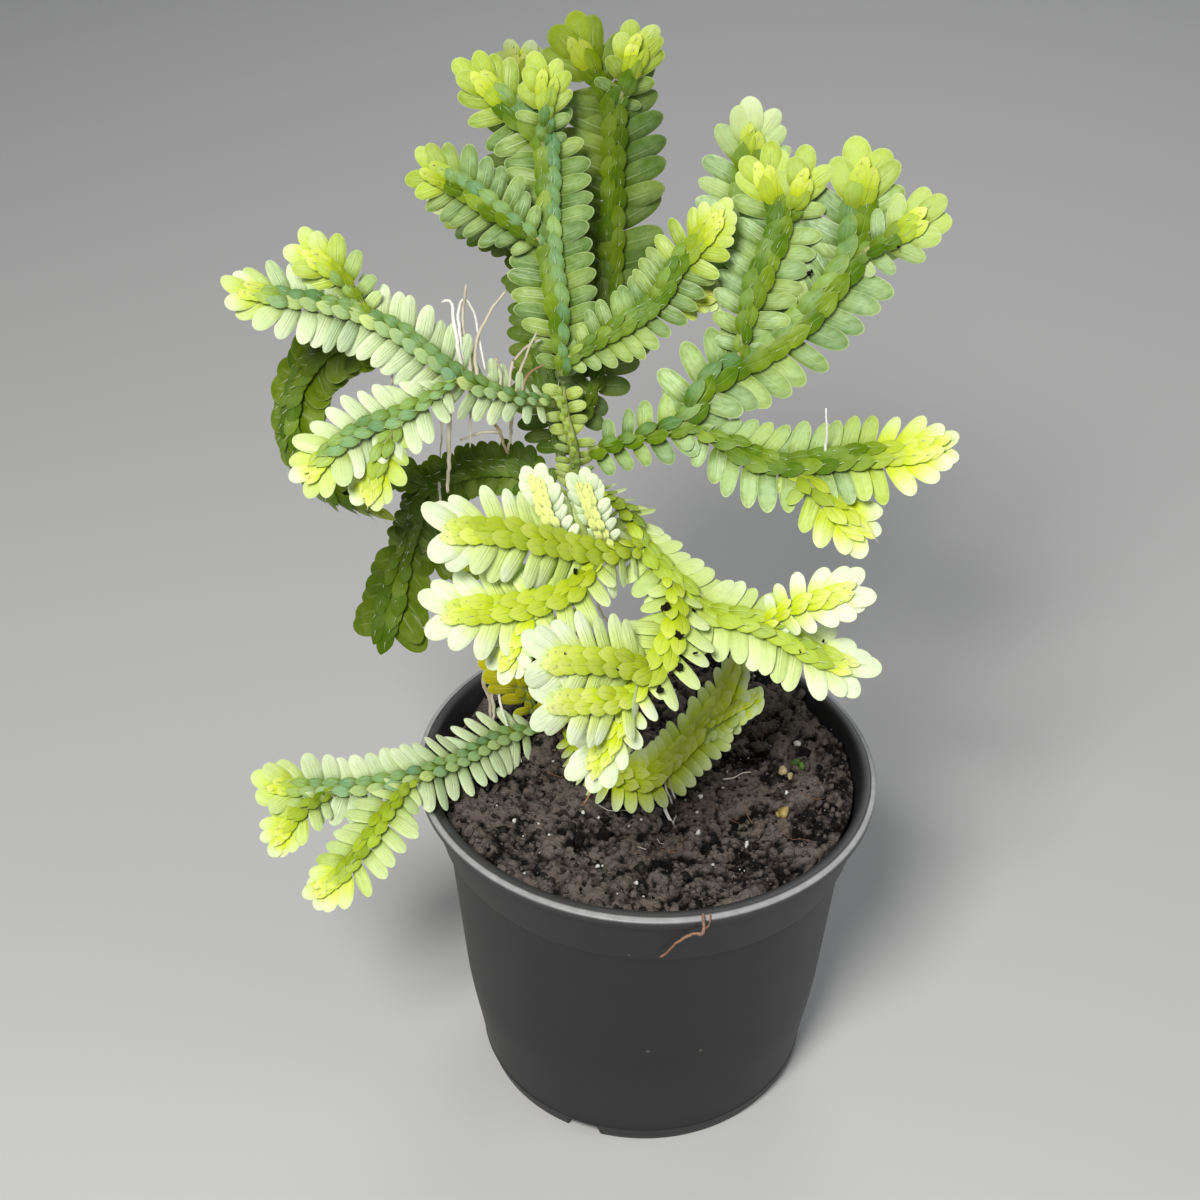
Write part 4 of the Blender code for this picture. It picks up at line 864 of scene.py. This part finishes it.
class Field:
    """A shader value that takes part in Python sums: each operator adds the Math node it stands for."""

    def __init__(self, finish, socket):
        self.finish, self.socket = finish, socket

    def math(self, operation, first, second):
        """The Math node for one operation on two values."""
        return self.finish.node("ShaderNodeMath", {"operation": operation}, {0: first, 1: second})

    def __add__(self, other):
        return self.math("ADD", self, other)

    def __sub__(self, other):
        return self.math("SUBTRACT", self, other)

    def __rsub__(self, other):
        return self.math("SUBTRACT", other, self)

    def __mul__(self, other):
        return self.math("MULTIPLY", self, other)

    def __pow__(self, other):
        return self.math("POWER", self, other)

    def __abs__(self):
        return self.math("ABSOLUTE", self, 0.0)

    __radd__, __rmul__ = __add__, __mul__

    def over(self, low):
        """How far it is over this value, or 0."""
        return self.math("MAXIMUM", self - low, 0.0)

    def step(self, low, high):
        """0 below low, 1 above high, a smooth step between."""
        return self.finish.node("ShaderNodeMapRange", {"interpolation_type": "SMOOTHSTEP"},
                                {"Value": self, "From Min": low, "From Max": high})


class Finish:
    """A procedural material: fixed values go straight on the shader's sockets, fields are linked in."""

    def __init__(self, name, **fixed):
        self.material = bpy.data.materials.new(name)
        self.material.use_nodes = True
        self.tree = self.material.node_tree
        self.shader = self.tree.nodes["Principled BSDF"]
        for socket, value in fixed.items():
            self.shader.inputs[socket.replace("_", " ")].default_value = value

    def node(self, kind, settings=None, values=None, output=0):
        """Any node: its settings first, then a number or a link for each named socket."""
        made = self.tree.nodes.new(kind)
        for key, value in (settings or {}).items():
            setattr(made, key, value)
        for key, value in (values or {}).items():
            if isinstance(value, Field):
                self.tree.links.new(value.socket, made.inputs[key])
            else:
                made.inputs[key].default_value = value
        return Field(self, made.outputs[output])

    def place(self):
        """Object coordinates, in metres."""
        return self.node("ShaderNodeTexCoord", output=3)

    def noise(self, scale, detail=3.0, where=None, rough=0.55):
        """Cloudy noise of about this many spots a metre."""
        return self.node("ShaderNodeTexNoise", None, {
            "Vector": where or self.place(), "Scale": scale, "Detail": detail, "Roughness": rough})

    def grains(self, scale):
        """Distance to the nearest of chance seeds, about this many a metre."""
        return self.node("ShaderNodeTexVoronoi", None, {"Vector": self.place(), "Scale": scale})

    def stretched(self, scale):
        """Object coordinates times three factors."""
        return self.node("ShaderNodeMapping", None, {"Vector": self.place(), "Scale": scale})

    def mix(self, share, first, second):
        """Colour: first where share is 0, second where it is 1."""
        first, second = (v if isinstance(v, Field) else (*v, 1.0) for v in (first, second))
        return self.node("ShaderNodeMix", {"data_type": "RGBA", "clamp_factor": True},
                         {0: share, 6: first, 7: second}, output=2)

    def parts(self, vector, kind="ShaderNodeSeparateXYZ"):
        """The numbers of a vector or a colour, one by one."""
        made = self.node(kind, None, {0: vector}).socket.node
        return [Field(self, out) for out in made.outputs]

    def tones(self):
        """The four tones that a piece keeps at each point."""
        kept = self.node("ShaderNodeAttribute", {"attribute_name": "tones"}).socket.node.outputs
        three = self.parts(Field(self, kept["Color"]), "ShaderNodeSeparateColor")
        return three + [Field(self, kept["Alpha"])]

    def feed(self, **values):
        """Links fields into the shader's sockets and gives the material."""
        for socket, value in values.items():
            self.tree.links.new(value.socket, self.shader.inputs[socket.replace("_", " ")])
        return self.material

    def bump(self, height, strength, distance):
        """The normal that a height field gives."""
        return self.node("ShaderNodeBump", None,
                         {"Height": height, "Strength": strength, "Distance": distance})


def leaf_finish(name, deep, sheen_colour, lime, cream, shade, ochre, pale_edge, rough, folds, edging):
    """Leaf skin. The leaf map gives x across and y along it. Tones choose between deep green and a painted
    pale sheen that stands for the lamps' reflection, then lime for the young with cream at its outer end,
    where a sheen over 1 adds a painted glare, painted shade for the hidden and ochre for the old. Each
    leaf's foot gets painted shade, where the leaf before it overlaps. Soft lengthwise folds, a pale rim,
    a faint midrib and fine lines go over that."""
    skin = Finish(name, Subsurface_Weight=0.06, Subsurface_Scale=0.0008, Specular_IOR_Level=0.17)
    skin.shader.inputs["Subsurface Radius"].default_value = (0.6, 1.0, 0.2)
    where = skin.node("ShaderNodeUVMap", {"uv_map": "leaf_map"})
    u, v, _ = skin.parts(where)
    fresh, silver, dark, old = skin.tones()
    x, y = u * 2.0 - 1.0, v * 2.0 - 1.0
    radius = (x * x + y * y) ** 0.5
    blotch, fine, broad = skin.noise(420, 3), skin.noise(1900, 2), skin.noise(150, 2)
    streaks = skin.noise(2.6, 3, where=skin.node("ShaderNodeVectorMath", {"operation": "MULTIPLY_ADD"}, {
        0: where, 1: (1.5, 0.5, 1.0), 2: skin.stretched((500.0, 500.0, 500.0))}))
    pleats = skin.node("ShaderNodeTexWave", {"bands_direction": "X"}, {
        "Vector": where, "Scale": folds, "Distortion": 2.2, "Detail": 1.0, "Detail Scale": 0.7})
    # Painted sheen: a pale colour for the lamps' reflection, in lengthwise streaks, strongest over the outer
    # middle of each leaf.
    sheen = (0.15 + streaks * 1.6) * (0.35 + v.step(0.12, 0.66) * 0.85) * (1.2 - radius.step(0.4, 0.97) * 0.5)
    body = skin.mix(silver * sheen + (blotch - 0.5) * 0.8, deep, sheen_colour)
    body = skin.mix(fresh * 0.95 + (blotch - 0.5) * 0.35 + (broad - 0.5) * 0.2, body, lime)
    # Cream at the outer end of very young leaves; where the sheen tone runs over 1, a painted glare.
    body = skin.mix(fresh.over(0.5) * 1.7 * v.step(0.3, 0.95) + silver.over(1.0) * (0.3 + 1.9 * v),
                    body, cream)
    # Painted shade, by the dark tone, on fronds that lie in the shade of others.
    body = skin.mix(dark + (fine - 0.5) * 0.2 + (blotch - 0.5) * 0.3, body, shade)
    body = skin.mix(old * 0.9 - (blotch - 0.4) * 0.3, body, ochre)
    # Painted shade at each leaf's foot, where the leaf before it overlaps; less on young leaves.
    body = skin.mix((1.0 - v.step(0.05, 0.50)) * (0.50 - fresh * 0.45), body, shade)
    rim = radius.step(0.90, 0.985)
    rib = (1.0 - abs(x).step(0.02, 0.12)) * (1.0 - v.step(0.55, 0.9))
    body = skin.mix(rib * (0.20 - dark * 0.2), body, pale_edge)
    body = skin.mix(rim * (edging - dark * 1.1), body, pale_edge)
    lines = skin.node("ShaderNodeTexWave", {"bands_direction": "X"}, {
        "Vector": where, "Scale": 4.2, "Distortion": 1.6, "Detail": 2.0, "Detail Scale": 1.4})
    relief = pleats * 0.35 + lines * 0.08 + blotch * 0.8 - rib * 0.7 + fine * 0.15
    return skin.feed(Base_Color=body, Roughness=rough + (blotch - 0.5) * 0.3 + fine * 0.08,
                     Normal=skin.bump(relief, 0.55, 0.00014))


def stem_finish():
    """Stem skin: green to straw in streaks, with fine cracks."""
    skin = Finish("stem_skin", IOR=1.4, Subsurface_Weight=0.05, Subsurface_Scale=0.001)
    fresh, _, dark, _ = skin.tones()
    streak, spot = skin.noise(700, 4), skin.grains(1500)
    body = skin.mix(streak.step(0.35, 0.7), (0.12, 0.20, 0.03), (0.42, 0.42, 0.18))
    body = skin.mix(fresh * 0.6, body, (0.42, 0.55, 0.10))
    # Painted shade on the stems of shaded shoots, by their dark tone.
    body = skin.mix(dark, body, (0.05, 0.07, 0.02))
    return skin.feed(Base_Color=body, Roughness=0.5 + streak * 0.2,
                     Normal=skin.bump(streak + spot * 0.4, 0.5, 0.0002))


def thread_finish(name, light, brown):
    """Dry root or hair: pale straw that turns brown in patches."""
    skin = Finish(name, IOR=1.45, Subsurface_Weight=0.08, Subsurface_Scale=0.0008)
    patch, grain = skin.noise(260, 3), skin.noise(2400, 2)
    body = skin.mix(patch.step(0.42, 0.72), light, brown)
    return skin.feed(Base_Color=body, Roughness=0.55 + grain * 0.2, Normal=skin.bump(grain, 0.4, 0.0001))


def soil_finish(name, dry, hollow_colour, fleck):
    """Peat: black-brown in the hollows, grey-brown on the crumbs, with fibres and pale flecks."""
    peat = Finish(name, Specular_IOR_Level=0.16)
    up = peat.tones()[0]
    patch, crumb, grit = peat.noise(130, 4), peat.noise(900, 5, rough=0.75), peat.grains(2100)
    fibre = peat.noise(600, 3, where=peat.stretched((1.0, 6.0, 3.0)))
    body = peat.mix((up * 0.75 + patch * 0.75 + crumb * 0.9 - 0.85).step(0.22, 0.74), hollow_colour, dry)
    body = peat.mix(fibre.step(0.62, 0.75) * 0.5 * up, body, (0.13, 0.075, 0.045))
    body = peat.mix((1.0 - peat.grains(700).step(0.05, 0.11)) * up * 0.7, body, fleck)
    shine = 0.92 - (1.0 - patch.step(0.35, 0.6)) * 0.35
    return peat.feed(Base_Color=body, Roughness=shine - grit * 0.1,
                     Normal=peat.bump(crumb + grit * 0.5 + fibre * 0.4, 1.0, 0.0005))


def pot_finish():
    """Moulded plastic: nearly black, with a fine orange-peel, a scuffed grey lip, soil dust in
    specks, and faint upright drag marks."""
    plastic = Finish("matt_plastic", IOR=1.46)
    peel, cloud, speck = plastic.noise(3200, 2), plastic.noise(38, 4), plastic.grains(240)
    drag = plastic.noise(700, 2, where=plastic.stretched((1.0, 1.0, 0.04)))
    lip, edge = plastic.tones()[:2]
    dust = speck.step(0.085, 0.03) * cloud.step(0.48, 0.62)
    body = plastic.mix(cloud, (0.013, 0.0125, 0.0145), (0.022, 0.0205, 0.0225))
    body = plastic.mix(lip * (0.12 + drag * 0.3), body, (0.12, 0.12, 0.125))
    # Painted highlight: a pale grey line along the lip's outer edge stands for the lamps' reflection on the
    # rounded bead.
    body = plastic.mix(edge * (0.55 + drag * 0.5), body, (0.46, 0.46, 0.47))
    body = plastic.mix(dust * 0.55, body, (0.30, 0.25, 0.20))
    rough = 0.44 + cloud * 0.16 - lip * 0.16 + dust * 0.3
    return plastic.feed(Base_Color=body, Roughness=rough,
                        Normal=plastic.bump(peel * 0.5 + drag * lip + dust, 0.25, 0.00012))


def flake_finish(name, first, second):
    """A small loose bit: two tones in patches."""
    bit = Finish(name, IOR=1.4)
    patch, grain = bit.noise(900, 4), bit.noise(3000, 2)
    return bit.feed(Base_Color=bit.mix(patch.step(0.35, 0.65), first, second), Roughness=0.6 + grain * 0.3,
                    Normal=bit.bump(patch + grain * 0.4, 0.6, 0.0002))


def dress_plant(rng):
    """A piece for each frond, in place of its plain solid."""
    finishes = [
        leaf_finish("side_leaf", deep=(0.080, 0.165, 0.006), sheen_colour=(0.39, 0.56, 0.29),
                    lime=(0.80, 0.96, 0.016), cream=(0.88, 1.00, 0.66), shade=(0.040, 0.068, 0.003),
                    ochre=(0.62, 0.52, 0.012), pale_edge=(0.66, 0.80, 0.40), rough=0.28, folds=1.0,
                    edging=0.5),
        leaf_finish("scale_leaf", deep=(0.080, 0.172, 0.004), sheen_colour=(0.20, 0.41, 0.25),
                    lime=(0.80, 0.96, 0.012), cream=(0.94, 1.00, 0.34), shade=(0.040, 0.070, 0.003),
                    ochre=(0.62, 0.52, 0.010), pale_edge=(0.40, 0.56, 0.16), rough=0.34, folds=0.6,
                    edging=0.28),
        stem_finish(),
        thread_finish("leaf_hair", (0.84, 0.88, 0.66), (0.70, 0.72, 0.45)),
        thread_finish("straw_root", (0.60, 0.54, 0.42), (0.36, 0.29, 0.20)),
        thread_finish("brown_root", (0.50, 0.36, 0.22), (0.26, 0.13, 0.06)),
        thread_finish("white_root", (0.88, 0.86, 0.80), (0.66, 0.60, 0.50)),
        soil_finish("stray_peat", (0.12, 0.095, 0.06), (0.012, 0.009, 0.006), (0.10, 0.08, 0.05)),
    ]
    for node, shoots in PLANT.items():
        bundle = Bundle()
        for shoot in shoots:
            dress_shoot(bundle, shoot, rng)
        for points, radius, finish in THREADS.get(node, []):
            thread(bundle, points, radius, finish, rng)
        specks(bundle, node, STRAY, rng)
        piece = bundle.piece(node + "_leaves", finishes)
        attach(piece, "root")
        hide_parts(node)


def dress_soil(rng):
    """The soil's surface, the loose crumbs on it and the few odd bits that lie there."""
    dark = soil_finish("damp_peat", (0.155, 0.127, 0.112), (0.004, 0.0028, 0.002), (0.26, 0.22, 0.18))
    soil = soil_piece(dark)
    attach(soil, "root")
    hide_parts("soil")
    loose = Bundle()
    x, y = scatter(CRUMBS, CRUMB_REACH, rng)
    size = rng.gamma(1.8, 0.12, CRUMBS).clip(0.12, 0.95)
    tones = np.zeros((CRUMBS, 4))
    tones[:, 0] = rng.uniform(0.35, 1.1, CRUMBS)
    lumps(loose, on_soil(x, y, 0.15 * size), size, PEAT, rng, tones=tones)
    x, y = scatter(PALE_FLECKS, FLECK_REACH, rng)
    lumps(loose, on_soil(x, y, 0.12), rng.uniform(0.09, 0.2, PALE_FLECKS), GRIT, rng)
    x, y = np.array(WHITE_GRIT).T
    lumps(loose, on_soil(x, y, 0.22), rng.uniform(0.26, 0.42, len(x)), GRIT, rng)
    for place, size, finish in ODD_BITS:
        x, y = np.array(place)[:, None]
        lumps(loose, on_soil(x, y, 0.35 * size), np.array([size]), finish, rng, 0.2)
    for n in range(FIBRES):
        x, y = scatter(1, FIBRE_REACH, rng)
        way, reach = rng.uniform(0, 2 * math.pi), rng.uniform(0.8, 2.4)
        t = np.linspace(-1, 1, 4)
        x, y = x + reach * t * math.cos(way), y + reach * t * math.sin(way) + 0.3 * t**2
        inside = min(1.0, FIBRE_LIMIT / np.hypot(x, y).max())
        points = on_soil(x * inside, y * inside, 0.22)
        thread(loose, points, rng.uniform(0.05, 0.10), FIBRE if n % 4 else PALE_FIBRE, rng)
    x, y = np.array([(10.2, -0.4), (11.6, 0.0), (12.8, 0.9), (14.0, 1.0)]).T
    thread(loose, on_soil(x, y, 0.35), 0.14, PALE_FIBRE, rng)
    piece = loose.piece("soil_crumbs", [
        dark, flake_finish("white_grit", (0.80, 0.79, 0.75), (0.58, 0.56, 0.52)),
        flake_finish("tan_bit", (0.66, 0.55, 0.34), (0.42, 0.32, 0.18)),
        flake_finish("moss_tuft", (0.10, 0.20, 0.03), (0.04, 0.08, 0.015)),
        flake_finish("straw_flake", (0.46, 0.36, 0.12), (0.28, 0.19, 0.06)),
        thread_finish("peat_fibre", (0.22, 0.11, 0.06), (0.10, 0.05, 0.03)),
        thread_finish("pale_fibre", (0.62, 0.58, 0.52), (0.40, 0.34, 0.28))])
    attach(piece, "root")


def dress_lip_root(rng):
    """The dry rootlet that hangs over the lip and lies down the band, and its few side hairs."""
    root = Bundle()
    for points, radius in LIP_ROOTLETS:
        thread(root, points, radius, 0, rng)
    finish = thread_finish("dry_rootlet", (0.42, 0.24, 0.15), (0.24, 0.11, 0.06))
    piece = root.piece("rootlet_on_lip", [finish])
    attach(piece, "root")


def dress_pot():
    """The pot, in place of its plain solid."""
    pot = pot_piece(pot_finish())
    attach(pot, "root")
    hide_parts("pot")


def area_light(name, place, target, size, power, tint):
    """A round soft light that looks from its place to its target."""
    light = bpy.data.lights.new(name, "AREA")
    light.shape, light.size, light.energy, light.color = "DISK", size, power, tint
    lamp = bpy.data.objects.new(name, light)
    bpy.context.scene.collection.objects.link(lamp)
    lamp.location = place
    way = np.array(place) - np.array(target)
    lean = math.acos(way[2] / np.linalg.norm(way))
    lamp.rotation_euler = (lean, 0.0, math.atan2(way[1], way[0]) + math.pi / 2)


def set_stage():
    """A pale floor, soft studio light and the camera at the photo's angle."""
    scene = bpy.context.scene
    bpy.ops.mesh.primitive_plane_add(size=6.0, location=(0, 0, 0))
    floor = bpy.context.active_object
    floor.name = "pale_floor"
    paint = Finish("floor_paint", Roughness=0.8)
    cloud = paint.noise(3, 3)
    paint.feed(Base_Color=paint.mix(cloud, (0.60, 0.60, 0.60), (0.63, 0.63, 0.62)))
    floor.data.materials.append(paint.material)
    world = bpy.data.worlds.new("studio")
    scene.world = world
    world.use_nodes = True
    colour, strength = world.node_tree.nodes["Background"].inputs[:2]
    colour.default_value, strength.default_value = (0.86, 0.89, 0.93, 1.0), 0.14
    scene.view_settings.view_transform = "Standard"
    for light in LIGHTS:
        area_light(*light)
    lens = bpy.data.cameras.new("photo_camera")
    lens.lens, lens.sensor_width, lens.clip_start = 60.0, 36.0, 0.01
    camera = bpy.data.objects.new("photo_camera", lens)
    scene.collection.objects.link(camera)
    camera.location = (-0.006, -0.2035, 0.216)
    camera.rotation_euler = (math.radians(55.15), 0.0, 0.0)
    scene.camera = camera


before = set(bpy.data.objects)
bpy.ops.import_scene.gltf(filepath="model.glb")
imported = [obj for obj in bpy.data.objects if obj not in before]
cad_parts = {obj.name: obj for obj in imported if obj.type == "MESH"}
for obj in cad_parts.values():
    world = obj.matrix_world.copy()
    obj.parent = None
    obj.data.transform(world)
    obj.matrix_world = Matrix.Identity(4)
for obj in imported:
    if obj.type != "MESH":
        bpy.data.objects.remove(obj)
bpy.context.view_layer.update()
chance = np.random.default_rng(DRESS_SEED)
dress_pot()
dress_soil(chance)
dress_lip_root(chance)
dress_plant(chance)
set_stage()
